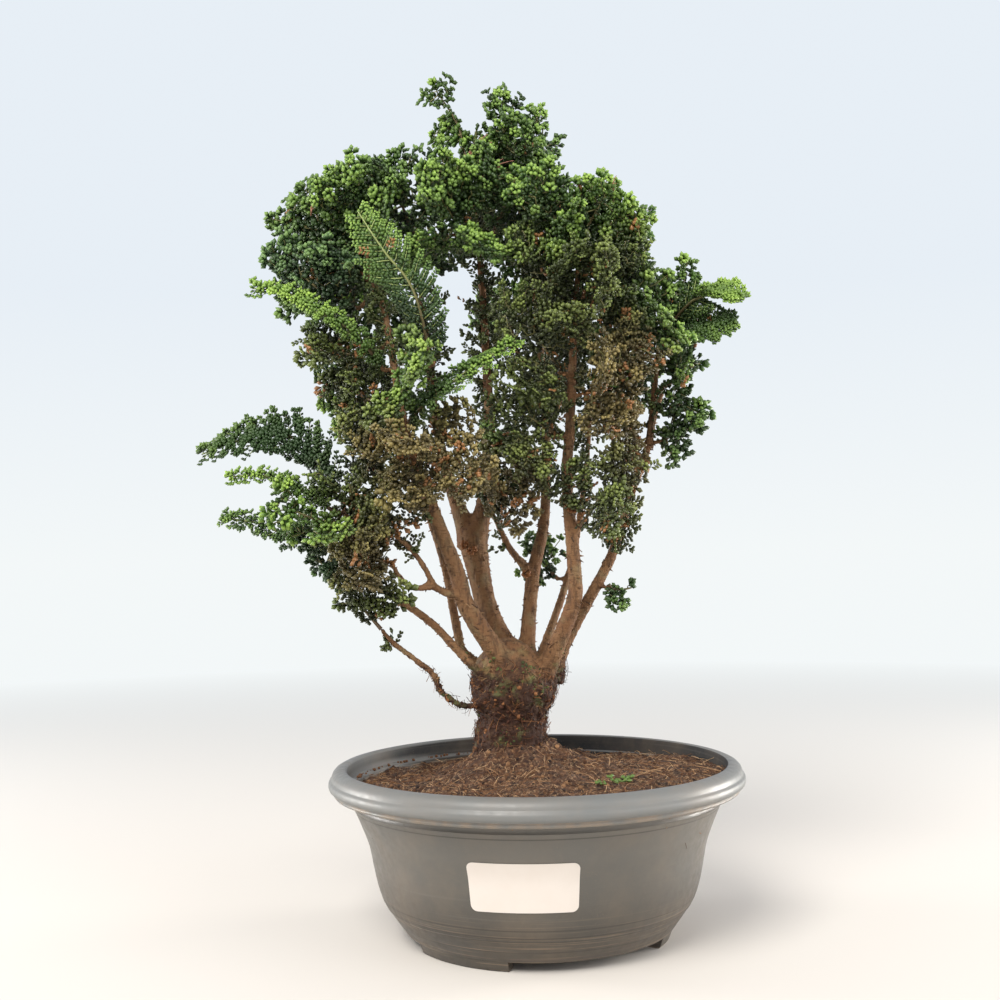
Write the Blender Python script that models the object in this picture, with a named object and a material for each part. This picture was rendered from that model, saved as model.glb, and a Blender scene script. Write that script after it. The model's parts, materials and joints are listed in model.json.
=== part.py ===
"""Hinoki cypress bonsai in a round plastic pot, at real size, in metres with +Z up.

The model is drawn in millimetres from the centre of the pot's foot circle, with the
viewer on the -Y side. The last step turns it into metres and moves the origin to the
middle of the model's box, at the surface that the pot stands on.
"""
import math
import random

import bmesh
import bpy
from mathutils import Matrix, Vector
from mathutils.bvhtree import BVHTree

MM = 0.001
SEED = 15
CLEARANCE = 0.3

# Pot
POT_SEGMENTS = 26
POT_FLOOR_UNDERSIDE = 5.0
POT_OUTER = [
    (71.2, POT_FLOOR_UNDERSIDE), (79.8, 17.6), (83.0, 22.7), (87.2, 40.0), (89.2, 51.0),
    (93.3, 61.0), (97.7, 70.4), (98.8, 74.6), (106.8, 76.6), (110.0, 80.0), (110.0, 83.4),
    (108.4, 84.6), (107.6, 87.6), (101.0, 89.6),
]
POT_INNER = [
    (99.3, 81.4), (96.4, 80.6), (95.3, 70.6), (87.1, 51.0), (80.8, 23.6), (71.0, 10.4),
]
POT_FLOOR_TOP = 8.0
FOOT_CENTRES_DEG = (-37.0, 83.0, 203.0)
FOOT_SPAN_DEG = 46.0
FOOT_SEGMENTS = 4
FOOT_PROFILE = [(60.0, 0.0), (68.8, 0.0), (70.7, 5.2), (70.2, 6.6), (60.0, 6.6)]
DRAIN_RADIUS = 5.0
DRAIN_CIRCLE = 44.0
DRAIN_COUNT = 4
DRAIN_SIDES = 6

# Sticker
LABEL_CENTRE_DEG = -6.0
LABEL_WIDTH = 52.4
LABEL_LOW = 33.0
LABEL_HIGH = 57.0
LABEL_CORNER = 3.0
LABEL_END_INSET = 2.4
LABEL_THICKNESS = 0.35
LABEL_COLUMNS = 8

# Soil: its edge is lowest in one direction, and long low waves run over it
SOIL_FLOOR_GAP = 0.35
SOIL_WALL_GAP = 0.4
SOIL_EDGE_LOW = 76.5
SOIL_EDGE_HIGH = 86.0
SOIL_HIGH_SIDE_DEG = 40.0
SOIL_MOUND = 14.0
SOIL_MOUND_REACH = 23.0
SOIL_WAVE = 1.3
SOIL_WAVE_LENGTHS = (9.0, 11.0)
SOIL_RIPPLE = 0.8
SOIL_RIPPLE_LENGTH = 6.0
SOIL_RING_SHARES = (1.0, 0.5, 0.3)
TRUNK_HOLE_RADIUS = 20.2
TRUNK_HOLE_BOTTOM = 48.0
TRUNK_HOLE_TOP = 130.0
TRUNK_HOLE_SIDES = 16

# Trunk rings: height, centre x, centre y, radius; above the soil they are uneven
TRUNK_SIDES = 9
PLAIN_TRUNK_RINGS = 3
UNEVEN_SHARES = (0.05, 0.03)
TRUNK_RINGS = [
    (48.4, -13.0, 0.0, 17.0), (60.0, -13.0, 0.0, 19.2), (101.0, -13.0, 0.0, 19.2),
    (107.0, -12.5, 0.0, 18.8), (114.0, -12.0, 0.0, 18.4), (120.0, -12.0, 0.0, 20.6),
    (127.0, -11.5, 0.0, 23.0), (135.0, -10.5, 0.5, 23.0), (142.0, -8.5, 1.0, 20.0),
    (148.0, -6.0, 1.5, 14.0), (151.0, -4.0, 2.0, 7.0),
]
TRUNK_X, TRUNK_Y = TRUNK_RINGS[0][1:3]

# Limbs: points along each one as x, y, z, radius; each starts inside what it grows from
LIMBS = {
    "low_left": [
        (-18, -5, 125, 2.6), (-34, -14, 121, 1.9), (-42, -18, 124, 1.8), (-49, -20, 130, 1.8),
        (-54, -22, 140, 1.8), (-70, -24, 153, 1.6), (-75, -26, 158, 1.5)],
    "second_left": [
        (-16, -5, 127, 3.6), (-30, -14, 139, 2.5), (-53, -20, 165, 2.2), (-72, -24, 179, 2.0),
        (-81, -26, 187, 1.9), (-88, -27, 200, 1.8), (-97, -29, 226, 1.5)],
    "back_left": [
        (-18, 8, 133, 4.0), (-37, 12, 146, 2.8), (-41, 15, 158, 2.6), (-48, 26, 195, 2.4),
        (-59, 40, 229, 2.1), (-68, 48, 250, 1.9), (-76, 54, 275, 1.7), (-80, 56, 297, 1.5)],
    "front_left": [
        (-8, -6, 136, 7.0), (-19, -14, 148, 5.6), (-35, -22, 174, 4.8), (-39, -26, 190, 4.4),
        (-52, -33, 227, 3.4), (-63, -35, 260, 2.7), (-67, -33, 280, 2.4), (-71, -29, 307, 2.1),
        (-76, -23, 332, 1.8), (-83, -17, 350, 1.5)],
    "front_left_fork": [
        (-37, -25, 180, 2.0), (-45, -28, 181, 1.8), (-51, -30, 185, 1.7), (-55, -33, 193, 1.6),
        (-60, -36, 201, 1.5), (-66, -39, 208, 1.4)],
    "front_left_twig": [
        (-51, -30, 185, 1.5), (-61, -32, 184, 1.4), (-67, -33, 188, 1.4), (-71, -34, 193, 1.4)],
    "leader": [
        (-7, 5, 134, 9.0), (-17, 10, 152, 7.2), (-24, 14, 169, 6.1), (-28, 18, 186, 6.2),
        (-31, 20, 203, 7.6), (-33, 22, 214, 7.4)],
    "leader_left": [
        (-32, 21, 207, 6.2), (-39, 26, 225, 4.4), (-45, 32, 243, 3.4), (-50, 36, 266, 2.8),
        (-54, 38, 295, 2.3), (-56, 36, 323, 1.8), (-59, 31, 348, 1.5)],
    "leader_right": [
        (-32, 21, 205, 6.0), (-26, 22, 225, 4.6), (-23, 22, 244, 3.8), (-21, 20, 269, 3.2),
        (-22, 18, 297, 2.7), (-23, 14, 330, 2.3), (-25, 10, 368, 1.9), (-28, 7, 400, 1.5)],
    "centre": [
        (-4, 2, 134, 6.0), (-3, 6, 154, 4.2), (1, 10, 190, 3.8), (8, 16, 220, 3.0),
        (10, 24, 269, 2.4), (9, 28, 303, 2.1), (6, 30, 343, 1.8), (3, 28, 378, 1.5)],
    "centre_fork": [
        (1, 10, 187, 2.6), (-4, 7, 194, 2.1), (-10, 4, 201, 1.9), (-14, 2, 208, 1.8),
        (-18, 0, 217, 1.6), (-22, -4, 225, 1.5)],
    "right": [
        (2, -5, 132, 6.0), (10, -10, 147, 4.7), (21, -15, 174, 4.1), (22, -17, 190, 3.8),
        (19, -17, 238, 3.1), (21, -16, 262, 2.8), (23, -14, 292, 2.4), (26, -10, 333, 1.9),
        (29, -8, 358, 1.5)],
    "far_right": [
        (8, 2, 134, 5.6), (18, 3, 154, 3.8), (39, 4, 190, 3.0), (47, 6, 207, 2.8),
        (56, 10, 234, 2.4), (66, 14, 260, 2.1), (72, 17, 303, 1.7), (75, 17, 318, 1.5)],
    "behind": [
        (2, 12, 134, 4.0), (8, 24, 152, 2.6), (19, 42, 179, 2.2), (25, 52, 197, 2.1),
        (30, 62, 220, 2.0), (35, 70, 249, 1.8), (38, 74, 276, 1.5)],
    "back_right": [
        (9, 24, 262, 2.1), (18, 38, 285, 1.8), (28, 52, 308, 1.7), (34, 60, 334, 1.5)],
    "back_centre": [
        (9, 27, 292, 2.0), (4, 44, 306, 1.7), (-4, 60, 318, 1.6), (-8, 68, 336, 1.5)],
    "right_back_twig": [
        (66, 14, 258, 1.9), (71, 28, 274, 1.6), (78, 40, 292, 1.5)],
}
LIMB_SIDES = 5
SLIM_LIMB_SIDES = 4
SLIM_LIMBS = ("low_left", "second_left", "back_left", "front_left_fork", "front_left_twig",
              "centre_fork", "behind", "back_right", "back_centre", "right_back_twig")

# A twig carries each leafy stem; its flat end faces the stem's flat end
TWIG_RADIUS = 1.4
TWIG_STRAIGHT = 3.5
TWIG_SUNK = 2.5
TWIG_SIDES = 3

# Leaf tones, as linear base colours
TONES = {
    "bright": (0.16, 0.36, 0.06),
    "green": (0.05, 0.17, 0.04),
    "dark": (0.025, 0.09, 0.035),
    "blue": (0.04, 0.14, 0.09),
    "olive": (0.12, 0.13, 0.05),
    "brown": (0.16, 0.10, 0.05),
}

# Leafy stems: name, limb, tone, growth, count, length, route as x, y, z
# A frond is one long spray: count is its leaflets a side, length is that of a leaflet
# A branch holds short sprays left and right by turns: count and length are theirs
STEMS = [
    ("fern_frond", "front_left", "bright", "frond", 13, 18,
     [(-50, -43, 300), (-54, -55, 322), (-60, -60, 337), (-71, -62, 351), (-84, -58, 372)]),
    ("long_frond", "front_left", "bright", "frond", 12, 10,
     [(-76, -36, 298), (-89, -48, 314), (-105, -50, 324), (-123, -44, 335), (-141, -38, 339)]),
    ("centre_frond", "front_left", "bright", "frond", 12, 15,
     [(-62, -46, 268), (-50, -62, 277), (-30, -66, 291), (-7, -58, 306)]),
    ("arm_upper", "second_left", "green", "frond", 12, 15,
     [(-99, -29, 234), (-110, -28, 254), (-129, -24, 265), (-151, -20, 263), (-173, -16, 256)]),
    ("arm_middle", "second_left", "bright", "frond", 9, 7,
     [(-101, -44, 224), (-116, -48, 235), (-134, -48, 242), (-152, -44, 242)]),
    ("arm_lower", "second_left", "green", "frond", 11, 11,
     [(-98, -32, 207), (-121, -32, 211), (-142, -26, 219), (-161, -20, 222)]),
    ("right_arm_upper", "far_right", "bright", "frond", 10, 14,
     [(80, 12, 326), (92, 4, 337), (107, 0, 339), (116, -4, 335)]),
    ("right_arm_lower", "far_right", "green", "frond", 8, 13,
     [(76, 11, 314), (93, 6, 320), (112, 2, 323)]),
    ("top_tip", "leader_right", "bright", "branch", 3, 19,
     [(-30, 4, 412), (-35, 1, 434), (-46, -2, 452)]),
    ("top_centre", "leader_right", "green", "branch", 4, 28,
     [(-17, 4, 404), (-12, 2, 420), (-11, -2, 434)]),
    ("top_right", "centre", "green", "branch", 4, 30,
     [(-1, 18, 392), (6, 12, 410), (11, 8, 427)]),
    ("upper_left_inner", "leader_right", "dark", "branch", 4, 40,
     [(-60, -2, 374), (-66, -8, 390), (-66, -10, 406)]),
    ("upper_left", "front_left", "green", "branch", 4, 38,
     [(-85, -16, 364), (-88, -17, 382), (-90, -18, 400)]),
    ("left_sprig", "front_left", "green", "branch", 3, 23,
     [(-97, -16, 358), (-107, -18, 374), (-114, -16, 391)]),
    ("left_outer", "front_left", "dark", "branch", 4, 32,
     [(-97, -4, 346), (-112, -4, 358), (-123, -4, 372)]),
    ("left_low", "front_left", "blue", "branch", 4, 32,
     [(-92, -14, 334), (-107, -20, 340), (-119, -22, 350)]),
    ("left_olive_upper", "front_left", "olive", "branch", 4, 32,
     [(-82, -22, 308), (-96, -22, 307), (-107, -18, 318)]),
    ("left_olive_lower", "front_left", "olive", "branch", 4, 34,
     [(-76, -30, 282), (-90, -30, 282), (-101, -26, 291)]),
    ("left_olive_bottom", "front_left", "olive", "branch", 3, 32,
     [(-70, -34, 262), (-82, -30, 260), (-93, -26, 258)]),
    ("centre_bright", "front_left", "bright", "branch", 3, 26,
     [(-66, -45, 284), (-62, -58, 287), (-57, -68, 290)]),
    ("hanging", "front_left", "brown", "branch", 4, 33,
     [(-58, -45, 252), (-53, -55, 251), (-43, -61, 246)]),
    ("hanging_left", "front_left", "brown", "branch", 3, 28,
     [(-63, -43, 251), (-68, -52, 246), (-75, -56, 240)]),
    ("arm_bright", "second_left", "bright", "branch", 3, 23,
     [(-98, -44, 216), (-107, -58, 219), (-118, -64, 224)]),
    ("rosette", "second_left", "olive", "branch", 4, 26,
     [(-91, -34, 222), (-91, -44, 230), (-91, -52, 237)]),
    ("left_mass", "second_left", "blue", "branch", 4, 32,
     [(-91, -30, 188), (-101, -29, 191), (-109, -25, 197)]),
    ("low_hanging", "low_left", "olive", "branch", 4, 30,
     [(-79, -27, 163), (-88, -29, 174), (-97, -30, 184)]),
    ("fork_tip", "front_left_fork", "olive", "branch", 3, 19,
     [(-69, -41, 212), (-72, -45, 220), (-74, -48, 229)]),
    ("fork_twig_tip", "front_left_twig", "brown", "branch", 4, 26,
     [(-74, -36, 196), (-80, -39, 199), (-87, -42, 202)]),
    ("sleeve_left_low", "right", "olive", "branch", 3, 32,
     [(15, -20, 262), (7, -28, 266), (-1, -32, 271)]),
    ("sleeve_left_mid", "right", "olive", "branch", 4, 34,
     [(18, -18, 296), (10, -28, 304), (3, -32, 315)]),
    ("sleeve_left_top", "right", "olive", "branch", 4, 34,
     [(21, -14, 331), (15, -24, 340), (8, -28, 351)]),
    ("sleeve_right_top", "right", "olive", "branch", 4, 33,
     [(31, -14, 332), (39, -22, 339), (46, -24, 349)]),
    ("sleeve_right_low", "right", "brown", "branch", 4, 33,
     [(28, -18, 284), (37, -26, 288), (46, -28, 297)]),
    ("bright_top", "right", "bright", "branch", 4, 33,
     [(30, -10, 364), (34, -20, 374), (40, -27, 383)]),
    ("bright_top_left", "right", "green", "branch", 4, 33,
     [(25, -12, 358), (19, -24, 368), (13, -31, 378)]),
    ("face_left", "leader_right", "green", "branch", 4, 40,
     [(-30, -2, 366), (-35, -22, 372), (-41, -38, 380)]),
    ("face_right", "leader_right", "green", "branch", 4, 40,
     [(-17, -1, 376), (-11, -20, 384), (-5, -34, 394)]),
    ("right_crown_top", "right", "green", "branch", 4, 30,
     [(36, 0, 366), (47, 4, 377), (58, 4, 388)]),
    ("right_crown_side", "right", "green", "branch", 4, 28,
     [(40, 4, 352), (54, 7, 361), (66, 5, 367)]),
    ("right_sprig", "far_right", "bright", "branch", 3, 16,
     [(78, 17, 326), (85, 16, 341), (89, 14, 353)]),
    ("right_mid", "far_right", "green", "branch", 4, 36,
     [(66, 6, 309), (58, -8, 321), (55, -15, 334)]),
    ("right_low", "far_right", "green", "branch", 4, 28,
     [(75, 13, 290), (84, 8, 296), (92, 6, 302)]),
    ("right_lower", "far_right", "dark", "branch", 3, 23,
     [(73, 11, 261), (82, 8, 265), (92, 6, 268)]),
    ("right_hang", "far_right", "brown", "branch", 3, 33,
     [(60, 5, 246), (57, -8, 258), (50, -14, 267)]),
    ("between", "right", "olive", "branch", 4, 30,
     [(25, -20, 214), (32, -26, 224), (40, -28, 235)]),
    ("low_sprig", "far_right", "dark", "branch", 3, 14,
     [(42, 0, 181), (47, -2, 180), (53, -3, 181)]),
    ("dark_sprig", "behind", "dark", "branch", 3, 16,
     [(14, 48, 188), (9, 51, 194), (6, 52, 201)]),
    ("centre_low_left", "centre_fork", "brown", "branch", 4, 26,
     [(-21, -8, 228), (-17, -15, 234), (-11, -20, 240)]),
    ("centre_low_right", "centre", "dark", "branch", 3, 34,
     [(6, 14, 238), (0, 2, 246), (-7, -6, 254)]),
    ("back_top", "centre", "dark", "branch", 3, 40,
     [(3, 30, 382), (6, 35, 397), (5, 40, 412)]),
    ("back_top_left", "leader_left", "dark", "branch", 3, 41,
     [(-60, 32, 352), (-66, 40, 368), (-66, 44, 386)]),
    ("back_left_upper", "back_left", "green", "branch", 3, 41,
     [(-81, 57, 301), (-88, 58, 318), (-93, 55, 336)]),
    ("back_left_low", "back_left", "green", "branch", 3, 40,
     [(-72, 52, 252), (-85, 60, 262), (-96, 62, 274)]),
    ("back_right_upper", "back_right", "green", "branch", 3, 41,
     [(35, 62, 338), (38, 64, 355), (36, 62, 374)]),
    ("back_right_low", "behind", "dark", "branch", 3, 41,
     [(39, 75, 280), (43, 78, 294), (46, 76, 310)]),
    ("back_middle", "back_centre", "green", "branch", 3, 42,
     [(-9, 70, 340), (-11, 76, 356), (-10, 76, 374)]),
]

# A branch: its core, where its sprays start along it, and how each of them lies
CORE_RADIUS = 1.3
CORE_TAPER = 0.4
CORE_SHARES = {"frond": (0.16,), "branch": (0.45, 0.75)}
SIDE_SPRAYS_FROM = 0.12
SIDE_SPRAYS_SPAN = 0.5
END_SPRAY_FROM = 0.7
BRANCH_TURNS_DEG = (-12.0, 192.0, 82.0, 30.0, 150.0)
BRANCH_LEAN_DEG = 60.0
UNEVEN_DEG = 8.0
ROLL_DEG = 20.0
FLAT_AHEAD = 0.4
BRANCH_LEAFLETS = 3
BRANCH_RIB_SHARES = (0.2, 0.76)
BRANCH_SPRAY_WIDTH = 0.336
BRANCH_SPRAY_SWELL = 0.147

# A frond: where its blade is rooted in the butt, and where its leaflets start and end
FROND_ROOT_SHARE = 0.03
FROND_RIB_SHARES = (0.05, 0.92)
FROND_TURN_SHARE = 0.7
FROND_WIDTH = 0.30
FROND_SWELL = 0.74
FROND_SWELL_FROM = 0.2
FROND_SWELL_SPAN = 0.76

# Which way the flat sides face: away from the crown's middle, to the viewer, to the light
CROWN_MIDDLE = Vector((-20.0, 8.0, 0.0))
FACING_OUT = 0.5
FACING_VIEW = 0.6
FACING_UP = 0.5
BACK_FROM = 24.0

# A spray is a thin arched blade, cut nearly to its rib into leaflets that point ahead
RIB_THICKNESS = 1.8
ROOT_THICKNESS = 1.2
ROOT_NOTCH = 1.1
RIB_TIP_SHARE = 0.4
LEAFLET_SWEEP = {"frond": 0.62, "branch": 0.5}
NOTCH_SWEEP = 0.35
NOTCH_SHARE = {"frond": 0.34, "branch": 0.42}
SPRAY_CUP = 0.16
SPRAY_WAVE = 0.06
SPRAY_ARCH = 0.1
SHARP_EDGE_GROWTH = 1.4

# Tries for a spray that meets another stem: turn about its stem in degrees, and length
SPRAY_TRIES = [
    (0, 1.0), (22, 1.0), (-22, 1.0), (45, 0.95), (-45, 0.95), (0, 0.85), (70, 0.9), (-70, 0.9),
    (25, 0.8), (-25, 0.8), (100, 0.8), (-100, 0.8), (50, 0.75), (-50, 0.75), (150, 0.75),
    (0, 0.65), (30, 0.6), (-30, 0.6), (90, 0.6), (-90, 0.6), (180, 0.6), (0, 0.48),
]

# The crown is open here, from front to back, between its left and right halves
SIGHT_GAP = [
    (-37, -70, 305), (-26, -70, 305), (-25, -70, 342), (-34, -70, 342),
    (-42, 100, 330), (-28, 100, 330), (-27, 100, 378), (-38, 100, 378),
]


def remove_all():
    for item in list(bpy.data.objects):
        bpy.data.objects.remove(item, do_unlink=True)


def material(name, colour, roughness, metallic=0.0):
    finish = bpy.data.materials.new(name)
    finish.use_nodes = True
    shader = finish.node_tree.nodes["Principled BSDF"]
    shader.inputs["Base Color"].default_value = (*colour, 1.0)
    shader.inputs["Roughness"].default_value = roughness
    shader.inputs["Metallic"].default_value = metallic
    finish.diffuse_color = (*colour, 1.0)
    return finish


def add_object(name, mesh):
    item = bpy.data.objects.new(name, mesh)
    bpy.context.scene.collection.objects.link(item)
    return item


def solid(name, verts, faces):
    """An object from points and faces, with its faces turned outwards."""
    mesh = bpy.data.meshes.new(name)
    mesh.from_pydata([tuple(v) for v in verts], [], faces)
    work = bmesh.new()
    work.from_mesh(mesh)
    bmesh.ops.recalc_face_normals(work, faces=work.faces)
    work.to_mesh(mesh)
    work.free()
    return add_object(name, mesh)


def bake(item):
    """Replaces an object by a plain mesh object of what it looks like."""
    graph = bpy.context.evaluated_depsgraph_get()
    mesh = bpy.data.meshes.new_from_object(item.evaluated_get(graph))
    mesh.transform(item.matrix_world)
    name = item.name
    bpy.data.objects.remove(item, do_unlink=True)
    return add_object(name, mesh)


def combine(base, others, operation, solver="EXACT"):
    """Joins the others to the base, or cuts them from it, in one Boolean."""
    name = base.name
    group = bpy.data.collections.new(name + "_group")
    bpy.context.scene.collection.children.link(group)
    for item in others:
        bpy.context.scene.collection.objects.unlink(item)
        group.objects.link(item)
    step = base.modifiers.new("join", "BOOLEAN")
    step.operation = operation
    step.operand_type = "COLLECTION"
    step.collection = group
    step.solver = solver
    base.name = name + "_base"
    result = bake(base)
    result.name = name
    for item in list(group.objects):
        bpy.data.objects.remove(item, do_unlink=True)
    bpy.data.collections.remove(group)
    return result


def tree_of(item, grow=0.0):
    """A search tree of an object's faces."""
    mesh = item.data
    verts = [v.co + v.normal * grow for v in mesh.vertices]
    return BVHTree.FromPolygons(verts, [tuple(p.vertices) for p in mesh.polygons])


def smooth_route(points, per_span):
    """Points along a smooth curve through the given ones, whatever their length."""
    route = [tuple(points[0])]
    ends = [points[0]] + list(points) + [points[-1]]
    for i in range(1, len(ends) - 2):
        a, b, c, d = ends[i - 1:i + 3]
        for step in range(1, per_span + 1):
            t = step / per_span
            route.append(tuple(
                0.5 * (2 * q + (r - p) * t + (2 * p - 5 * q + 4 * r - s) * t * t
                       + (3 * q - p - 3 * r + s) * t ** 3)
                for p, q, r, s in zip(a, b, c, d)))
    return route


def tube(name, points, sides):
    """A closed round bar along points of x, y, z, radius, with flat ends."""
    line = [Vector(point[:3]) for point in points]
    verts = []
    face_up = None
    for k, place in enumerate(line):
        before = line[max(k - 1, 0)]
        after = line[min(k + 1, len(line) - 1)]
        ahead = (after - before).normalized()
        if face_up is None:
            face_up = ahead.orthogonal()
        face_up = (face_up - ahead * face_up.dot(ahead)).normalized()
        across = ahead.cross(face_up)
        for side in range(sides):
            turn = math.tau * side / sides
            reach = face_up * math.cos(turn) + across * math.sin(turn)
            verts.append(place + reach * points[k][3])
    faces = [tuple(range(sides))]
    for k in range(len(line) - 1):
        for side in range(sides):
            low = k * sides + side
            after = k * sides + (side + 1) % sides
            faces.append((low, after, after + sides, low + sides))
    faces.append(tuple(range(len(verts) - sides, len(verts))))
    return solid(name, verts, faces)


def foot(centre_deg):
    """A foot: a closed profile of radius and height, turned part of the way round."""
    verts = []
    for column in range(FOOT_SEGMENTS + 1):
        angle = math.radians(centre_deg + FOOT_SPAN_DEG * (column / FOOT_SEGMENTS - 0.5))
        for radius, height in FOOT_PROFILE:
            verts.append((radius * math.sin(angle), -radius * math.cos(angle), height))
    count = len(FOOT_PROFILE)
    faces = [tuple(range(count)), tuple(range(count * FOOT_SEGMENTS, count * (FOOT_SEGMENTS + 1)))]
    for column in range(FOOT_SEGMENTS):
        here = column * count
        there = here + count
        for k in range(count):
            after = (k + 1) % count
            faces.append((here + k, there + k, there + after, here + after))
    return solid("foot", verts, faces)


def cylinder(name, x, y, radius, low, high, sides):
    """An upright closed cylinder."""
    mesh = bpy.data.meshes.new(name)
    work = bmesh.new()
    middle = Matrix.Translation((x, y, (low + high) / 2))
    bmesh.ops.create_cone(work, cap_ends=True, segments=sides, radius1=radius, radius2=radius,
                          depth=high - low, matrix=middle)
    work.to_mesh(mesh)
    work.free()
    return add_object(name, mesh)


def make_pot():
    """One bowl: turned wall and floor, three feet joined on, drain holes cut out."""
    wall = POT_OUTER + POT_INNER
    verts = []
    for column in range(POT_SEGMENTS):
        angle = math.tau * column / POT_SEGMENTS
        for radius, height in wall:
            verts.append((radius * math.sin(angle), -radius * math.cos(angle), height))
    count = len(wall)
    underside = len(verts)
    verts += [(0, 0, POT_FLOOR_UNDERSIDE), (0, 0, POT_FLOOR_TOP)]
    faces = []
    for column in range(POT_SEGMENTS):
        here = column * count
        there = (column + 1) % POT_SEGMENTS * count
        for k in range(count - 1):
            faces.append((here + k, there + k, there + k + 1, here + k + 1))
        faces.append((underside, there, here))
        faces.append((underside + 1, here + count - 1, there + count - 1))
    pot = solid("pot", verts, faces)
    pot = combine(pot, [foot(centre_deg) for centre_deg in FOOT_CENTRES_DEG], "UNION")
    drains = []
    for k in range(DRAIN_COUNT):
        angle = math.tau * (k + 0.5) / DRAIN_COUNT
        x = DRAIN_CIRCLE * math.sin(angle)
        y = DRAIN_CIRCLE * math.cos(angle)
        drains.append(cylinder("drain", x, y, DRAIN_RADIUS, 0.0, 2 * POT_FLOOR_TOP, DRAIN_SIDES))
    return combine(pot, drains, "DIFFERENCE")


def wall_radius(profile, height):
    """The radius of a profile at a height, between its points."""
    points = sorted(profile, key=lambda point: point[1])
    for (r0, z0), (r1, z1) in zip(points, points[1:]):
        if z0 <= height <= z1:
            return r0 + (r1 - r0) * (height - z0) / (z1 - z0)
    return points[-1][0]


def make_label():
    """A curved sheet on the front of the pot, with rounded corners."""
    middle = (LABEL_LOW + LABEL_HIGH) / 2
    half = LABEL_WIDTH / 2
    columns = []
    for k in range(LABEL_COLUMNS + 1):
        across = -half * math.cos(math.pi * k / LABEL_COLUMNS)
        past = max(0.0, abs(across) - (half - LABEL_CORNER))
        inset = LABEL_CORNER - math.sqrt(max(0.0, LABEL_CORNER ** 2 - past ** 2))
        columns.append((across, min(inset, LABEL_END_INSET)))
    verts = []
    for across, inset in columns:
        for height in (LABEL_LOW + inset, middle, LABEL_HIGH - inset):
            for lift in (CLEARANCE, CLEARANCE + LABEL_THICKNESS):
                radius = wall_radius(POT_OUTER[2:7], height) + lift
                angle = math.radians(LABEL_CENTRE_DEG) + across / wall_radius(POT_OUTER[2:7], middle)
                verts.append((radius * math.sin(angle), -radius * math.cos(angle), height))
    faces = []
    for k in range(LABEL_COLUMNS):
        here = k * 6
        there = here + 6
        for row in (0, 2):
            faces.append((here + row, there + row, there + row + 2, here + row + 2))
            faces.append((here + row + 1, here + row + 3, there + row + 3, there + row + 1))
        faces.append((here, here + 1, there + 1, there))
        faces.append((here + 4, there + 4, there + 5, here + 5))
    for start in (0, LABEL_COLUMNS * 6):
        faces.append(tuple(start + k for k in (0, 2, 3, 1)))
        faces.append(tuple(start + k for k in (2, 4, 5, 3)))
    return solid("label", verts, faces)


def soil_height(x, y):
    """The surface of the soil: a mound about the trunk, low at the back on the left."""
    angle = math.atan2(x, -y)
    low_side = 0.5 - 0.5 * math.cos(angle - math.radians(SOIL_HIGH_SIDE_DEG))
    edge = SOIL_EDGE_HIGH - (SOIL_EDGE_HIGH - SOIL_EDGE_LOW) * low_side
    away = math.hypot(x - TRUNK_X, y - TRUNK_Y)
    mound = SOIL_MOUND * math.exp(-max(0.0, away - TRUNK_HOLE_RADIUS) / SOIL_MOUND_REACH)
    wave = SOIL_WAVE * math.sin(x / SOIL_WAVE_LENGTHS[0] + 1.0) * math.sin(y / SOIL_WAVE_LENGTHS[1])
    ripple = SOIL_RIPPLE * math.sin((x + y) / SOIL_RIPPLE_LENGTH)
    return edge + mound + wave + ripple


def make_soil():
    """The soil fills the pot, clear of its wall, and has a plain hole for the trunk."""
    side = [(radius - SOIL_WALL_GAP, height) for radius, height in reversed(POT_INNER[2:])]
    edge_radius = side[-1][0]
    verts = []
    for column in range(POT_SEGMENTS):
        angle = math.tau * column / POT_SEGMENTS
        out = Vector((math.sin(angle), -math.cos(angle)))
        for radius, height in side:
            verts.append((radius * out.x, radius * out.y, height))
        centre = Vector((TRUNK_X, TRUNK_Y))
        for share in SOIL_RING_SHARES:
            place = centre.lerp(out * edge_radius, share)
            verts.append((place.x, place.y, soil_height(place.x, place.y)))
    count = len(side) + len(SOIL_RING_SHARES)
    bottom = len(verts)
    verts += [(0, 0, POT_FLOOR_TOP + SOIL_FLOOR_GAP),
              (TRUNK_X, TRUNK_Y, soil_height(TRUNK_X, TRUNK_Y))]
    faces = []
    for column in range(POT_SEGMENTS):
        here = column * count
        there = (column + 1) % POT_SEGMENTS * count
        for k in range(count - 1):
            faces.append((here + k, there + k, there + k + 1, here + k + 1))
        faces.append((bottom, there, here))
        faces.append((bottom + 1, here + count - 1, there + count - 1))
    soil = solid("soil", verts, faces)
    hole = cylinder("hole", TRUNK_X, TRUNK_Y, TRUNK_HOLE_RADIUS, TRUNK_HOLE_BOTTOM,
                    TRUNK_HOLE_TOP, TRUNK_HOLE_SIDES)
    return combine(soil, [hole], "DIFFERENCE")


def make_trunk():
    """The trunk: rings one above the other, uneven like bark-covered wood."""
    verts = []
    for level, (height, cx, cy, radius) in enumerate(TRUNK_RINGS):
        for side in range(TRUNK_SIDES):
            angle = math.tau * side / TRUNK_SIDES
            reach = radius
            if level >= PLAIN_TRUNK_RINGS:
                reach += radius * UNEVEN_SHARES[0] * math.sin(3 * angle + level)
                reach += radius * UNEVEN_SHARES[1] * math.sin(5 * angle - 2 * level)
            verts.append((cx + reach * math.cos(angle), cy + reach * math.sin(angle), height))
    faces = [tuple(range(TRUNK_SIDES))]
    for level in range(len(TRUNK_RINGS) - 1):
        for side in range(TRUNK_SIDES):
            after = (side + 1) % TRUNK_SIDES
            low = level * TRUNK_SIDES
            high = low + TRUNK_SIDES
            faces.append((low + side, low + after, high + after, high + side))
    faces.append(tuple(range(len(verts) - TRUNK_SIDES, len(verts))))
    return solid("wood", verts, faces)


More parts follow.
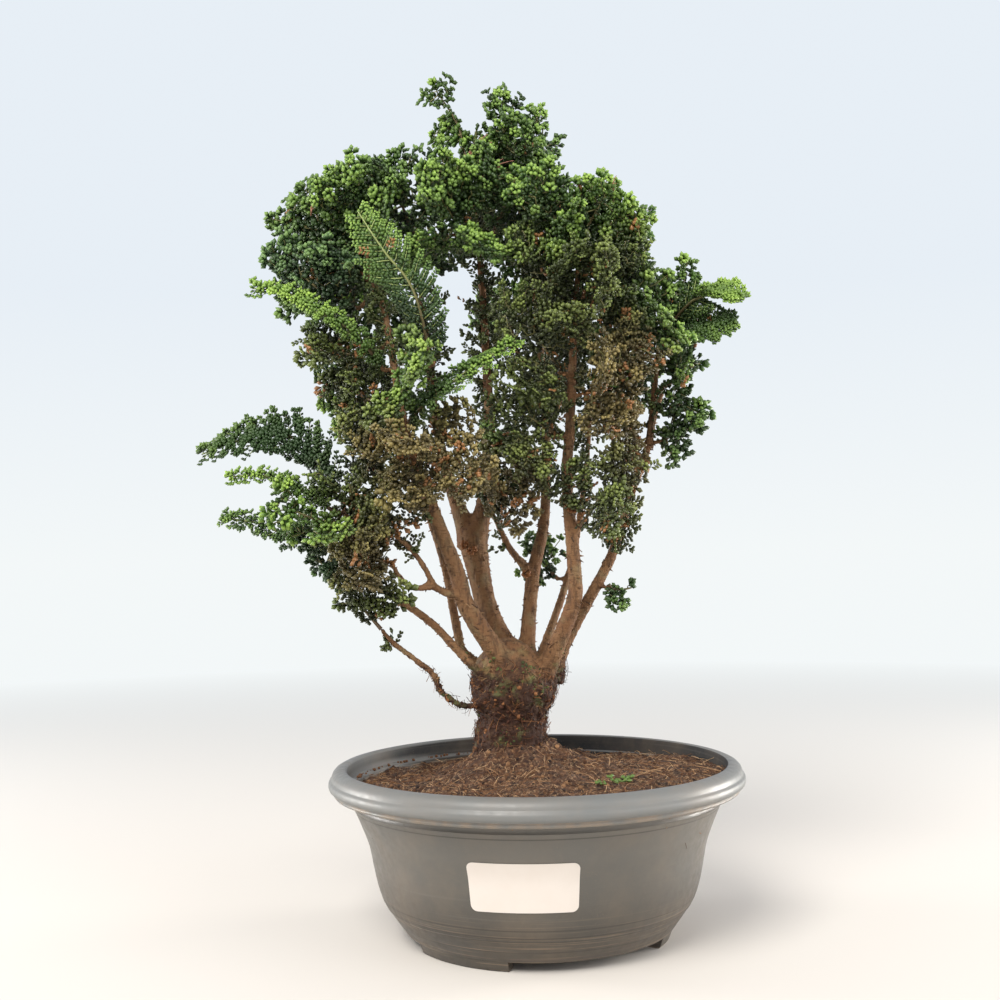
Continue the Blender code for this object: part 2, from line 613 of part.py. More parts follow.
def nearest_on_limb(limb, target):
    """The point on a limb's middle line from which a twig sets out for the target."""
    best = None
    points = [Vector(p[:3]) for p in LIMBS[limb]]
    for a, b in zip(points, points[1:]):
        along = b - a
        furthest = 1.0 - TWIG_SUNK / along.length
        share = min(furthest, max(0.0, (target - a).dot(along) / along.length_squared))
        place = a + along * share
        if best is None or (place - target).length < (best - target).length:
            best = place
    return best


def stem_start(route):
    """Where a stem begins, and its first direction."""
    first = Vector(route[0])
    return first, (Vector(route[1]) - first).normalized()


def make_wood():
    """Trunk, limbs and twigs, which grew as one piece."""
    limbs = []
    for name, points in LIMBS.items():
        limbs.append(tube("limb", points, SLIM_LIMB_SIDES if name in SLIM_LIMBS else LIMB_SIDES))
    twigs = []
    for name, limb, tone, growth, count, length, route in STEMS:
        start, ahead = stem_start(route)
        origin = nearest_on_limb(limb, start)
        before = start - ahead * TWIG_STRAIGHT
        points = [origin, before, start]
        if (before - origin).length < TWIG_RADIUS:
            points = [before - ahead * TWIG_RADIUS, start]
        twigs.append(tube("twig", [(*p, TWIG_RADIUS) for p in points], TWIG_SIDES))
    return combine(make_trunk(), limbs + twigs, "UNION")


def stem_line(points):
    """A stem's smooth middle line, from just past its twig's end."""
    start, ahead = stem_start(points)
    start = start + ahead * CLEARANCE
    bend = start + ahead * TWIG_STRAIGHT
    line = smooth_route([tuple(bend)] + [tuple(p) for p in points[1:]], 4)
    return [start] + [Vector(p) for p in line]


def along(line, share):
    """The point and the direction at a share of a line's length."""
    spans = [(b - a).length for a, b in zip(line, line[1:])]
    left = share * sum(spans)
    for a, b, span in zip(line, line[1:], spans):
        if left <= span:
            return a.lerp(b, left / span), (b - a).normalized()
        left -= span
    return line[-1], (line[-1] - line[-2]).normalized()


def facing(place, ahead):
    """Which way the flat sides of a stem's sprays face: outwards, and up to the light."""
    out = place - CROWN_MIDDLE
    out.z = 0.0
    view = Vector((0.0, FACING_VIEW if place.y > BACK_FROM else -FACING_VIEW, FACING_UP))
    face = out.normalized() * FACING_OUT + view
    return (face - ahead * face.dot(ahead)).normalized()


def stem_core(growth, points, grow=0.0):
    """The slim middle of a leafy stem; a frond has only its butt, as its rib carries on."""
    line = stem_line(points)
    core = [(*line[0], TWIG_RADIUS + grow), (*line[1], TWIG_RADIUS + grow)]
    for share in CORE_SHARES[growth]:
        place, ahead = along(line, share)
        core.append((*place, CORE_RADIUS * (1 - CORE_TAPER * share) + grow))
    return tube("core", core, TWIG_SIDES)


def spray_solid(ribs, faces_up, widths, growth, waves):
    """A lobed blade along rib points: two faces that meet at its cut edge, split alike.

    The first rib point is the root, the last the tip, and each one between them starts
    a leaflet on both sides. The blade is thickest along the rib.
    """
    inner = len(ribs) - 2
    notch = NOTCH_SHARE[growth]
    sweep = LEAFLET_SWEEP[growth]
    root_half = faces_up[0] * (ROOT_THICKNESS / 2)
    verts = [ribs[0] + root_half, ribs[0] - root_half, ribs[-1]]
    for k in range(1, inner + 1):
        half = faces_up[k] * (RIB_THICKNESS * (1 - (1 - RIB_TIP_SHARE) * k / inner) / 2)
        verts += [ribs[k] + half, ribs[k] - half]
    faces = []
    for side in (1, -1):
        notches = []
        tips = []
        for k in range(1, inner + 1):
            ahead = (ribs[k + 1] - ribs[k - 1]).normalized()
            out = ahead.cross(faces_up[k]) * side
            width = widths[k]
            reach = ROOT_NOTCH if k == 1 else notch * width
            notches.append(len(verts))
            verts.append(ribs[k] + (out + ahead * NOTCH_SWEEP) * reach)
            if k < inner:
                lift = faces_up[k] * (SPRAY_CUP + waves[k] * side)
                middle = ribs[k].lerp(ribs[k + 1], 0.5)
                tips.append(len(verts))
                verts.append(middle + (out + ahead * sweep + lift) * width)
        for layer in (0, 1):
            rib = [3 + 2 * k + layer for k in range(inner)]
            made = [(layer, notches[0], rib[0]), (rib[-1], notches[-1], 2)]
            for k in range(inner - 1):
                made.append((rib[k], notches[k], tips[k]))
                made.append((rib[k], tips[k], notches[k + 1]))
                made.append((rib[k], notches[k + 1], rib[k + 1]))
            turned_over = (side == 1) != (layer == 0)
            faces += [tuple(reversed(face)) if turned_over else face for face in made]
        end = (0, 1, notches[0])
        faces.append(end if side == 1 else tuple(reversed(end)))
    return verts, faces


def grown_tree(verts, faces, margin):
    """A search tree of a thin solid grown by a margin all round."""
    work = bmesh.new()
    points = [work.verts.new(v) for v in verts]
    for face in faces:
        work.faces.new([points[k] for k in face])
    work.normal_update()
    grown = [v.co + v.normal * margin for v in points]
    work.free()
    return BVHTree.FromPolygons(grown, faces)


def rib_shares(span, leaflets):
    """Shares of a rib's length at its root, at each leaflet's start and end, and its tip."""
    first, last = span
    return [0.0] + [first + (last - first) * k / leaflets for k in range(leaflets + 1)] + [1.0]


def branch_spray(line, length, index, count, turn_deg, shrink, draw, waves):
    """One arched spray of a branch: the last points ahead, the others stand out all round."""
    last = index == count - 1
    start = END_SPRAY_FROM if last else SIDE_SPRAYS_FROM + SIDE_SPRAYS_SPAN * index / (count - 1)
    root, ahead = along(line, start)
    up = facing(root, ahead)
    side = ahead.cross(up)
    turn = math.radians(BRANCH_TURNS_DEG[index] + draw[1] * UNEVEN_DEG + turn_deg)
    lean = math.radians(draw[0] * UNEVEN_DEG + (0.0 if last else BRANCH_LEAN_DEG))
    out = side * math.cos(turn) + up * math.sin(turn)
    direction = (ahead * math.cos(lean) + out * math.sin(lean)).normalized()
    flat = ahead * FLAT_AHEAD + up
    flat = (flat - direction * flat.dot(direction)).normalized()
    roll = math.radians(draw[2] * ROLL_DEG + (turn_deg if last else 0.0))
    flat = Matrix.Rotation(roll, 3, direction) @ flat
    size = length * shrink
    shares = rib_shares(BRANCH_RIB_SHARES, BRANCH_LEAFLETS)
    ribs = [root + direction * (size * t) - flat * (SPRAY_ARCH * size * t * t) for t in shares]
    widths = [
        size * (BRANCH_SPRAY_WIDTH + BRANCH_SPRAY_SWELL * math.sin(math.pi * t)) for t in shares]
    return spray_solid(ribs, [flat] * len(ribs), widths, "branch", waves)


def frond_spray(line, count, length, turn_deg, shrink, waves):
    """The one long spray of a frond, along its whole stem, widest below its middle."""
    shares = rib_shares(FROND_RIB_SHARES, count)
    ribs = [along(line, max(t, FROND_ROOT_SHARE))[0] for t in shares]
    tilt = math.radians(turn_deg * FROND_TURN_SHARE)
    ups = []
    for k in range(len(ribs)):
        ahead = (ribs[min(k + 1, len(ribs) - 1)] - ribs[max(k - 1, 0)]).normalized()
        ups.append(Matrix.Rotation(tilt, 3, ahead) @ facing(ribs[k], ahead))
    widths = []
    for t in shares:
        swell = FROND_SWELL * math.sin(math.pi * (FROND_SWELL_FROM + FROND_SWELL_SPAN * t))
        widths.append(length * shrink * (FROND_WIDTH + swell))
    return spray_solid(ribs, ups, widths, "frond", waves)


def make_stem(order, row, taken):
    """One leafy stem with its sprays, each clear of everything that is already there."""
    name, limb, tone, growth, count, length, points = row
    draws = random.Random(SEED * len(STEMS) + order)
    line = stem_line(points)
    blades = []
    own = []
    for index in range(count if growth == "branch" else 1):
        draw = [draws.uniform(-1, 1) for _ in range(3)]
        waves = [draws.uniform(-SPRAY_WAVE, SPRAY_WAVE) for _ in range(count + 3)]
        for turn_deg, shrink in SPRAY_TRIES:
            if growth == "branch":
                blade = branch_spray(line, length, index, count, turn_deg, shrink, draw, waves)
            else:
                blade = frond_spray(line, count, length, turn_deg, shrink, waves)
            shell = grown_tree(*blade, CLEARANCE * SHARP_EDGE_GROWTH)
            if any(shell.overlap(tree) for tree in taken + own):
                continue
            blades.append(solid("spray", *blade))
            own.append(grown_tree(*blade, 0.0))
            break
    return combine(stem_core(growth, points), blades, "UNION")


def box_middle(items):
    """The middle of the model's box, at its lowest height."""
    corners = [v.co for item in items for v in item.data.vertices]
    low = [min(c[k] for c in corners) for k in range(3)]
    high = [max(c[k] for c in corners) for k in range(3)]
    return Vector(((low[0] + high[0]) / 2, (low[1] + high[1]) / 2, low[2]))


def build():
    remove_all()
    pieces = {}
    pieces["pot"] = (make_pot(), material("pot_plastic", (0.11, 0.125, 0.13), 0.5))
    pieces["label"] = (make_label(), material("label_paper", (0.86, 0.82, 0.78), 0.6))
    pieces["soil"] = (make_soil(), material("soil_peat", (0.09, 0.045, 0.025), 0.95))
    wood = make_wood()
    pieces["wood"] = (wood, material("bark", (0.23, 0.12, 0.07), 0.85))
    corners = [Vector(corner) for corner in SIGHT_GAP]
    sides = [(0, 1, 2, 3), (4, 7, 6, 5), (0, 4, 5, 1), (1, 5, 6, 2), (2, 6, 7, 3), (3, 7, 4, 0)]
    taken = [tree_of(wood, CLEARANCE), BVHTree.FromPolygons(corners, sides)]
    cores = {}
    for row in STEMS:
        core = stem_core(row[3], row[6], CLEARANCE)
        cores[row[0]] = tree_of(core)
        bpy.data.objects.remove(core, do_unlink=True)
    for order, row in enumerate(STEMS):
        name = row[0]
        others = taken + [tree for key, tree in cores.items() if key != name]
        stem = make_stem(order, row, others)
        pieces["spray_" + name] = (stem, material(name + "_leaf", TONES[row[2]], 0.6))
        taken.append(tree_of(stem))
        del cores[name]
    centre = box_middle([item for item, finish in pieces.values()])
    for name, (item, finish) in pieces.items():
        item.name = name
        item.data.transform(Matrix.Scale(MM, 4) @ Matrix.Translation(-centre))
        item.data.materials.clear()
        item.data.materials.append(finish)
        if name in ("pot", "wood", "soil"):
            item.data.shade_smooth()
            item.data.set_sharp_from_angle(angle=math.radians(35))


build()
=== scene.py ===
import json
import math
from collections import namedtuple

import bmesh
import bpy
import numpy as np
from mathutils import Matrix, Vector
from mathutils.noise import noise as noise_at

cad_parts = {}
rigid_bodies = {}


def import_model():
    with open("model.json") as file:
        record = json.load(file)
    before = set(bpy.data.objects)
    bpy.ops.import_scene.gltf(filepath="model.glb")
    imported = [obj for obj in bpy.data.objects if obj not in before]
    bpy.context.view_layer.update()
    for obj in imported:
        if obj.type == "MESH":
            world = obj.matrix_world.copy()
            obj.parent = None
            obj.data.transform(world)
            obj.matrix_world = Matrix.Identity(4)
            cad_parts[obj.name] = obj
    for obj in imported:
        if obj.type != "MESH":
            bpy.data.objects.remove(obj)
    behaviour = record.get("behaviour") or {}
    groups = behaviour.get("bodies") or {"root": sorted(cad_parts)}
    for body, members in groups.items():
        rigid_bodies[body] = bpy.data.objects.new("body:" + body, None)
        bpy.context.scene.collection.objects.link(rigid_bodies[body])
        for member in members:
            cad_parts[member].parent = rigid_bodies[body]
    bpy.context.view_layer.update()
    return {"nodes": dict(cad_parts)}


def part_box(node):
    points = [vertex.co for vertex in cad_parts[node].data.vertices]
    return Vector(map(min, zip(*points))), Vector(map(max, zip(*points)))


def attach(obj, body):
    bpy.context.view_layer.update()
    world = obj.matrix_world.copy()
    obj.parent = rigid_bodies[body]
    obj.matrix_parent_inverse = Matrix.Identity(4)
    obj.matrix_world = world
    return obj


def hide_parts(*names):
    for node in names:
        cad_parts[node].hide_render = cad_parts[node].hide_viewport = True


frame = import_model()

# Pot: a bowl of blue-grey plastic, moulded in one thin wall. The rim is rolled over in two
# steps, a step inside lets pots nest, and it stands on three low feet round four drains.
# It is drawn, as the rest is, in millimetres from the middle of its foot circle.
MM = 0.001
pot_low, pot_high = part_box("pot")
foot_middle = Vector(((pot_low.x + pot_high.x) / 2, (pot_low.y + pot_high.y) / 2, pot_low.z))
POT_SEGMENTS = 144
POT_FLOOR_UNDERSIDE = 5.0
POT_FLOOR_TOP = 8.0
POT_WALL_ROUTE = [
    (71.0, 5.4), (75.4, 11.4), (79.6, 17.5), (80.4, 18.3), (81.0, 19.4), (83.0, 23.4), (85.3, 31.0),
    (87.2, 40.0), (89.2, 50.0), (92.9, 60.0), (96.6, 68.6)]
POT_RIM_ROUTE = [
    (97.3, 70.3), (98.1, 70.9), (98.5, 71.7), (98.0, 72.5), (97.9, 73.5), (98.3, 74.5), (99.6, 75.1),
    (103.0, 75.6), (106.0, 76.0), (107.0, 76.4), (107.5, 77.2), (107.3, 78.0), (107.6, 78.7),
    (108.8, 79.0), (109.7, 79.8), (110.0, 81.0), (109.9, 82.5), (109.4, 83.6), (108.7, 84.2),
    (108.5, 84.8), (108.3, 85.8), (107.7, 87.2), (106.6, 88.4), (105.0, 89.2), (103.2, 89.6),
    (101.6, 89.5), (100.7, 88.9), (100.3, 88.0)]
POT_INSIDE_ROUTE = [
    (99.8, 84.6), (99.3, 82.0), (98.8, 81.2), (97.1, 80.9), (96.5, 80.4), (96.2, 79.4), (95.3, 70.6),
    (91.2, 60.6), (87.1, 51.0), (83.9, 37.0), (80.8, 23.6), (76.0, 16.4), (71.5, 10.2), (69.6, 8.6),
    (66.0, 8.0)]
FOOT_CENTRES_DEG = (-37.0, 83.0, 203.0)
FOOT_SPAN_DEG = 46.0
FOOT_SEGMENTS = 20
FOOT_PROFILE = [
    (60.0, 0.4), (60.4, 0.0), (68.2, 0.0), (68.9, 0.5), (70.6, 5.0), (70.3, 6.6), (60.0, 6.6)]
DRAIN_RADIUS = 5.0
DRAIN_CIRCLE = 44.0
DRAIN_COUNT = 4


def at(x, y, z):
    """A place in the frame, in metres, from one in millimetres. The viewer is on the -Y side."""
    return foot_middle + Vector((x, y, z)) * MM


def show(name, mesh):
    """An object of the scene made of a mesh."""
    item = bpy.data.objects.new(name, mesh)
    bpy.context.scene.collection.objects.link(item)
    return item


def mesh_of(name, verts, faces):
    """A mesh of points in metres and faces, which are turned outwards."""
    mesh = bpy.data.meshes.new(name)
    mesh.from_pydata([tuple(v) for v in verts], [], faces)
    work = bmesh.new()
    work.from_mesh(mesh)
    bmesh.ops.recalc_face_normals(work, faces=work.faces)
    work.to_mesh(mesh)
    work.free()
    return mesh


def plain_mesh(item):
    """The mesh that an object's modifiers make; the object is then removed."""
    graph = bpy.context.evaluated_depsgraph_get()
    mesh = bpy.data.meshes.new_from_object(item.evaluated_get(graph))
    bpy.data.objects.remove(item, do_unlink=True)
    return mesh


def combine(base, others, operation):
    """Joins the other objects to the base, or cuts them from it."""
    for other in others:
        step = base.modifiers.new("combine", "BOOLEAN")
        step.operation = operation
        step.object = other
    mesh = plain_mesh(base)
    for other in others:
        bpy.data.objects.remove(other, do_unlink=True)
    return show("combined", mesh)


def round_curve(points, per_span):
    """Points along a smooth curve through points of any number of values."""
    route = [tuple(points[0])]
    ends = [points[0]] + list(points) + [points[-1]]
    for i in range(1, len(ends) - 2):
        a, b, c, d = ends[i - 1:i + 3]
        for step in range(1, per_span + 1):
            t = step / per_span
            route.append(tuple(
                0.5 * (2 * q + (r - p) * t + (2 * p - 5 * q + 4 * r - s) * t * t
                       + (3 * q - p - 3 * r + s) * t ** 3)
                for p, q, r, s in zip(a, b, c, d)))
    return route


def ring_faces(columns, count):
    """The faces of a closed ring of columns of points, and those of its two ends."""
    faces = []
    for column in range(columns):
        here = column * count
        there = (column + 1) % columns * count
        for k in range(count - 1):
            faces.append((here + k, there + k, there + k + 1, here + k + 1))
    for end in (0, count - 1):
        faces.append(tuple(column * count + end for column in range(columns)))
    return faces


def turned(name, profile, segments, start_deg=0.0, span_deg=360.0):
    """A profile of radius and height turned about the pot's axis, all round or part of the way."""
    full = span_deg >= 360.0
    columns = segments if full else segments + 1
    count = len(profile)
    verts = []
    for column in range(columns):
        angle = math.radians(start_deg + span_deg * column / segments)
        for radius, height in profile:
            verts.append(at(radius * math.sin(angle), -radius * math.cos(angle), height))
    if full:
        return show(name, mesh_of(name, verts, ring_faces(columns, count)))
    faces = []
    for column in range(segments):
        here, there = column * count, (column + 1) * count
        for k in range(count):
            after = (k + 1) % count
            faces.append((here + k, there + k, there + after, here + after))
    faces.append(tuple(range(count)))
    faces.append(tuple(range(count * segments, count * columns)))
    return show(name, mesh_of(name, verts, faces))


pot_wall = round_curve(POT_WALL_ROUTE, 3)
pot_profile = [(66.0, POT_FLOOR_UNDERSIDE)] + pot_wall + POT_RIM_ROUTE + POT_INSIDE_ROUTE
pot = turned("pot_body", pot_profile, POT_SEGMENTS)
feet = []
for centre_deg in FOOT_CENTRES_DEG:
    start_deg = centre_deg - FOOT_SPAN_DEG / 2
    feet.append(turned("foot", FOOT_PROFILE, FOOT_SEGMENTS, start_deg, FOOT_SPAN_DEG))
pot = combine(pot, feet, "UNION")
drains = []
for k in range(DRAIN_COUNT):
    turn = math.tau * (k + 0.5) / DRAIN_COUNT
    hole = bpy.data.meshes.new("drain")
    work = bmesh.new()
    centre = at(DRAIN_CIRCLE * math.sin(turn), DRAIN_CIRCLE * math.cos(turn), POT_FLOOR_TOP)
    bmesh.ops.create_cone(work, cap_ends=True, segments=24, radius1=DRAIN_RADIUS * MM,
                          radius2=DRAIN_RADIUS * MM, depth=POT_FLOOR_TOP * MM,
                          matrix=Matrix.Translation(centre))
    work.to_mesh(hole)
    work.free()
    drains.append(show("drain", hole))
pot = combine(pot, drains, "DIFFERENCE")
pot.name = "pot_body"
pot.data.shade_smooth()
pot.data.set_sharp_from_angle(angle=math.radians(42))


def node_in(tree, kind, inputs=None, **settings):
    """A node with its settings; its inputs are values or other nodes' outputs."""
    node = tree.nodes.new(kind)
    for key, value in settings.items():
        setattr(node, key, value)
    for key, value in (inputs or {}).items():
        if isinstance(value, bpy.types.NodeSocket):
            tree.links.new(value, node.inputs[key])
        else:
            node.inputs[key].default_value = value
    return node


def mixed(tree, share, first, second):
    """Two colours mixed, by a share that is a value or an output."""
    return node_in(tree, "ShaderNodeMix", {0: share, 6: first, 7: second}, data_type="RGBA").outputs[2]


def ranged(tree, value, low, high, to_low=0.0, to_high=1.0):
    """A value moved from one range to another, and kept within it."""
    return node_in(tree, "ShaderNodeMapRange", {
        "Value": value, "From Min": low, "From Max": high,
        "To Min": to_low, "To Max": to_high}).outputs["Result"]


def maths(tree, operation, first, second=0.0):
    return node_in(tree, "ShaderNodeMath", {0: first, 1: second}, operation=operation).outputs[0]


def scaled(tree, vector, amount):
    return node_in(tree, "ShaderNodeVectorMath", {
        0: vector, "Scale": amount}, operation="SCALE").outputs[0]


def noise(tree, place, scale, detail=3.0, roughness=0.55):
    return node_in(tree, "ShaderNodeTexNoise", {
        "Vector": place, "Scale": scale, "Detail": detail, "Roughness": roughness}).outputs["Fac"]


def object_place(tree, stretch=(1.0, 1.0, 1.0)):
    """Places on the object, stretched along its axes."""
    place = node_in(tree, "ShaderNodeTexCoord").outputs["Object"]
    return node_in(tree, "ShaderNodeMapping", {"Vector": place, "Scale": stretch}).outputs[0]


def finish_of(name, roughness):
    """A new material, with its nodes and its shader."""
    material = bpy.data.materials.new(name)
    material.use_nodes = True
    shader = material.node_tree.nodes["Principled BSDF"]
    shader.inputs["Roughness"].default_value = roughness
    return material, material.node_tree, shader


def bump(tree, shader, height, strength, distance):
    """Fine relief on a shader, from a height that changes over the surface."""
    node = node_in(tree, "ShaderNodeBump", {
        "Height": height, "Strength": strength, "Distance": distance * MM})
    tree.links.new(node.outputs[0], shader.inputs["Normal"])


def new_group(name, inputs, outputs):
    """A shader node group with named sockets; returns it with its two end nodes."""
    group = bpy.data.node_groups.new(name, "ShaderNodeTree")
    for socket, kind, value in inputs:
        made = group.interface.new_socket(socket, in_out="INPUT", socket_type="NodeSocket" + kind)
        made.default_value = value
    for socket, kind in outputs:
        group.interface.new_socket(socket, in_out="OUTPUT", socket_type="NodeSocket" + kind)
    return group, group.nodes.new("NodeGroupInput").outputs, group.nodes.new("NodeGroupOutput")


# Dust is what the pot and the sticker have in common: soft patches and fine specks
dust, dust_in, dust_out = new_group(
    "Dust",
    [("Patches", "Float", 60.0), ("Specks", "Float", 900.0), ("Amount", "Float", 0.5)],
    [("Mask", "Float")])
dust_place = object_place(dust)
dust_patches = ranged(dust, noise(dust, dust_place, dust_in["Patches"], 5.0, 0.65), 0.42, 0.72)
dust_specks = ranged(dust, noise(dust, dust_place, dust_in["Specks"], 2.0, 0.5), 0.64, 0.74)
dust_all = maths(dust, "MAXIMUM", dust_patches, dust_specks)
dust.links.new(maths(dust, "MULTIPLY", dust_all, dust_in["Amount"]), dust_out.inputs["Mask"])

RIM_TONE_AND_REFLECTION = (0.154, 0.158, 0.153, 1.0)
WALL_COLOUR = (0.108, 0.102, 0.090, 1.0)
WALL_LOW_SHADE = (0.044, 0.037, 0.029, 1.0)
WALL_PALE = (0.132, 0.125, 0.110, 1.0)
INSIDE_PAINTED_SHADE = (0.014, 0.0145, 0.015, 1.0)
DUST_COLOUR = (0.33, 0.235, 0.15, 1.0)
RIM_UNDERSIDE = 74.8
RIM_GROOVE = 77.4
RIM_GROOVE_REACH = 1.5
BEVEL_EDGE = 20.0
LOW_SHADE_FROM = 58.0
LOW_SHADE_TO = 18.0
FACING_THE_AXIS = (-0.062, -0.080)
INSIDE_ROUGHNESS = 0.85
CREASE_SHADE_HEIGHTS = (11.4, 17.6, 19.6, 23.6, 69.0)
CREASE_SHADE_HALF = 0.32
CREASE_SHADE_COLOUR = (0.030, 0.026, 0.021, 1.0)

plastic, tree, shader = finish_of("blue_grey_plastic", 0.5)
place = object_place(tree)
height = node_in(tree, "ShaderNodeSeparateXYZ", {0: place}).outputs["Z"]
# The rim's lighter blue-grey is partly its own tone and partly a painted reflection of the sky it faces.
rim_tone_and_reflection_share = ranged(tree, height, (RIM_UNDERSIDE - 0.8) * MM, (RIM_UNDERSIDE + 1.2) * MM)
wall_tone = mixed(tree, noise(tree, place, 26.0), WALL_COLOUR, WALL_PALE)
# Painted shade: the wall is painted darker towards the floor, where less light reaches it.
low_wall_shade = ranged(tree, height, LOW_SHADE_FROM * MM, LOW_SHADE_TO * MM, 0.0, 0.85)
wall_tone = mixed(tree, low_wall_shade, wall_tone, WALL_LOW_SHADE)
colour = mixed(tree, rim_tone_and_reflection_share, wall_tone, RIM_TONE_AND_REFLECTION)
from_axis = node_in(tree, "ShaderNodeVectorMath", {
    0: place, 1: (1.0, 1.0, 0.0)}, operation="MULTIPLY").outputs[0]
outwards = node_in(tree, "ShaderNodeVectorMath", {
    0: node_in(tree, "ShaderNodeNewGeometry").outputs["Normal"], 1: from_axis},
    operation="DOT_PRODUCT").outputs["Value"]
# Painted shade: faces turned towards the pot's axis, on its inner wall, are painted near black.
inside_shade_mask = ranged(tree, outwards, *FACING_THE_AXIS)
colour = mixed(tree, inside_shade_mask, colour, INSIDE_PAINTED_SHADE)
rings = noise(tree, object_place(tree, (6.0, 6.0, 420.0)), 1.0, 4.0, 0.7)
colour = mixed(tree, ranged(tree, rings, 0.56, 0.74, 0.0, 0.35), colour, WALL_PALE)
dusty = node_in(tree, "ShaderNodeGroup", {
    "Patches": 34.0, "Specks": 1300.0, "Amount": 0.15}, node_tree=dust).outputs[0]
colour = mixed(tree, dusty, colour, DUST_COLOUR)
groove = node_in(tree, "ShaderNodeMath", {
    0: height, 1: RIM_GROOVE * MM, 2: RIM_GROOVE_REACH * MM}, operation="COMPARE").outputs[0]
in_groove = maths(tree, "MULTIPLY", groove,
                  ranged(tree, noise(tree, place, 90.0), 0.38, 0.60, 0.05, 0.5))
low_rings = noise(tree, object_place(tree, (14.0, 14.0, 900.0)), 1.0, 3.0, 0.6)
low_edge = maths(tree, "MULTIPLY", ranged(tree, height, (BEVEL_EDGE + 12) * MM, (BEVEL_EDGE - 6) * MM),
                 ranged(tree, low_rings, 0.54, 0.68, 0.0, 0.55))
colour = mixed(tree, maths(tree, "MAXIMUM", in_groove, low_edge), colour, DUST_COLOUR)
# Painted shade: thin dark lines along the wall's creases, where its profile bends.
for crease_height in CREASE_SHADE_HEIGHTS:
    line = node_in(tree, "ShaderNodeMath", {
        0: height, 1: crease_height * MM, 2: CREASE_SHADE_HALF * MM}, operation="COMPARE").outputs[0]
    colour = mixed(tree, maths(tree, "MULTIPLY", line, 0.55), colour, CREASE_SHADE_COLOUR)
tree.links.new(colour, shader.inputs["Base Color"])
satin = ranged(tree, maths(tree, "ADD", dusty, noise(tree, place, 240.0)), 0.3, 1.0, 0.34, 0.62)
satin = maths(tree, "MAXIMUM", satin, maths(tree, "MULTIPLY", inside_shade_mask, INSIDE_ROUGHNESS))
tree.links.new(satin, shader.inputs["Roughness"])
grain = noise(tree, place, 900.0, 4.0, 0.7)
bump(tree, shader, maths(tree, "ADD", grain, rings), 0.25, 0.12)
pot.data.materials.clear()
pot.data.materials.append(plastic)
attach(pot, "root")
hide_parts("pot")

# Sticker: a plain paper rectangle with rounded corners, stuck flat to the front of the wall
LABEL_CENTRE_DEG = -6.0
LABEL_WIDTH = 52.4
LABEL_LOW = 33.0
LABEL_HIGH = 57.0
LABEL_CORNER = 3.2
LABEL_LIFT = 0.12
LABEL_THICKNESS = 0.28
LABEL_COLUMNS = 48
LABEL_ROWS = 12


def radius_at(route, height):
    """The radius at a height on a route of radius and height that rises."""
    for (r0, z0), (r1, z1) in zip(route, route[1:]):
        if z0 <= height <= z1:
            return r0 + (r1 - r0) * (height - z0) / (z1 - z0)
    return route[-1][0]


label_radius = radius_at(pot_wall, (LABEL_LOW + LABEL_HIGH) / 2)
verts = []
for layer in (0, 1):
    for k in range(LABEL_COLUMNS + 1):
        across = -LABEL_WIDTH / 2 * math.cos(math.pi * k / LABEL_COLUMNS)
        past = max(0.0, abs(across) - (LABEL_WIDTH / 2 - LABEL_CORNER))
        inset = LABEL_CORNER - math.sqrt(max(0.0, LABEL_CORNER ** 2 - past ** 2))
        for row in range(LABEL_ROWS + 1):
            low, high = LABEL_LOW + inset, LABEL_HIGH - inset
            z = low + (high - low) * row / LABEL_ROWS
            radius = radius_at(pot_wall, z) + LABEL_LIFT + LABEL_THICKNESS * layer
            angle = math.radians(LABEL_CENTRE_DEG) + across / label_radius
            verts.append(at(radius * math.sin(angle), -radius * math.cos(angle), z))
faces = []
rows = LABEL_ROWS + 1
back = len(verts) // 2
for k in range(LABEL_COLUMNS):
    for row in range(LABEL_ROWS):
        corners = (k * rows + row, (k + 1) * rows + row, (k + 1) * rows + row + 1, k * rows + row + 1)
        faces.append(corners)
        faces.append(tuple(back + corner for corner in reversed(corners)))
    for row in (0, LABEL_ROWS):
        here, there = k * rows + row, (k + 1) * rows + row
        faces.append((here, there, back + there, back + here))
for k in (0, LABEL_COLUMNS):
    for row in range(LABEL_ROWS):
        here = k * rows + row
        faces.append((here, here + 1, back + here + 1, back + here))
label = show("sticker", mesh_of("sticker", verts, faces))
label.data.shade_smooth()
label.data.set_sharp_from_angle(angle=math.radians(40))

LABEL_WHITE = (0.69, 0.63, 0.575, 1.0)
LABEL_SOILED = (0.60, 0.51, 0.43, 1.0)
paper, tree, shader = finish_of("sticker_paper", 0.46)
dusty = node_in(tree, "ShaderNodeGroup", {
    "Patches": 70.0, "Specks": 1500.0, "Amount": 0.16}, node_tree=dust).outputs[0]
tree.links.new(mixed(tree, dusty, LABEL_WHITE, LABEL_SOILED), shader.inputs["Base Color"])
bump(tree, shader, noise(tree, object_place(tree), 1800.0, 3.0), 0.12, 0.05)
label.data.materials.append(paper)
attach(label, "root")
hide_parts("label")

# Soil: fibrous peat that fills the pot. It is heaped against the trunk, sinks low along the
# wall at the back on the left, and its surface is a tangle of straw, crumbs and rootlets.
TRUNK_X = -13.0
TRUNK_Y = 0.0
TRUNK_HOLE_RADIUS = 19.2
TRUNK_HOLE_BOTTOM = 56.0
SOIL_EDGE_LOW = 76.5
SOIL_EDGE_HIGH = 86.0
SOIL_HIGH_SIDE_DEG = 40.0
SOIL_MOUND = 17.0
SOIL_MOUND_REACH = 19.0
SOIL_EDGE_RADIUS = 95.0
SOIL_WALL_GAP = 0.4
SOIL_LUMPS = 1.3
SOIL_RIPPLES = 0.8
SOIL_CRUMBS_FROM = 66.0
SOIL_CRUMBS_FULL = 74.0
SOIL_COLUMNS = 232
SOIL_RINGS = 58
SOIL_SIDE_ROUTE = [(0.0, 8.5), (64.0, 8.5), (70.0, 10.8), (80.2, 23.8), (86.5, 51.0)]
HUMP_PLACE = (20.0, 50.0)
HUMP_HEIGHT = 7.0
HUMP_REACH = 11.0


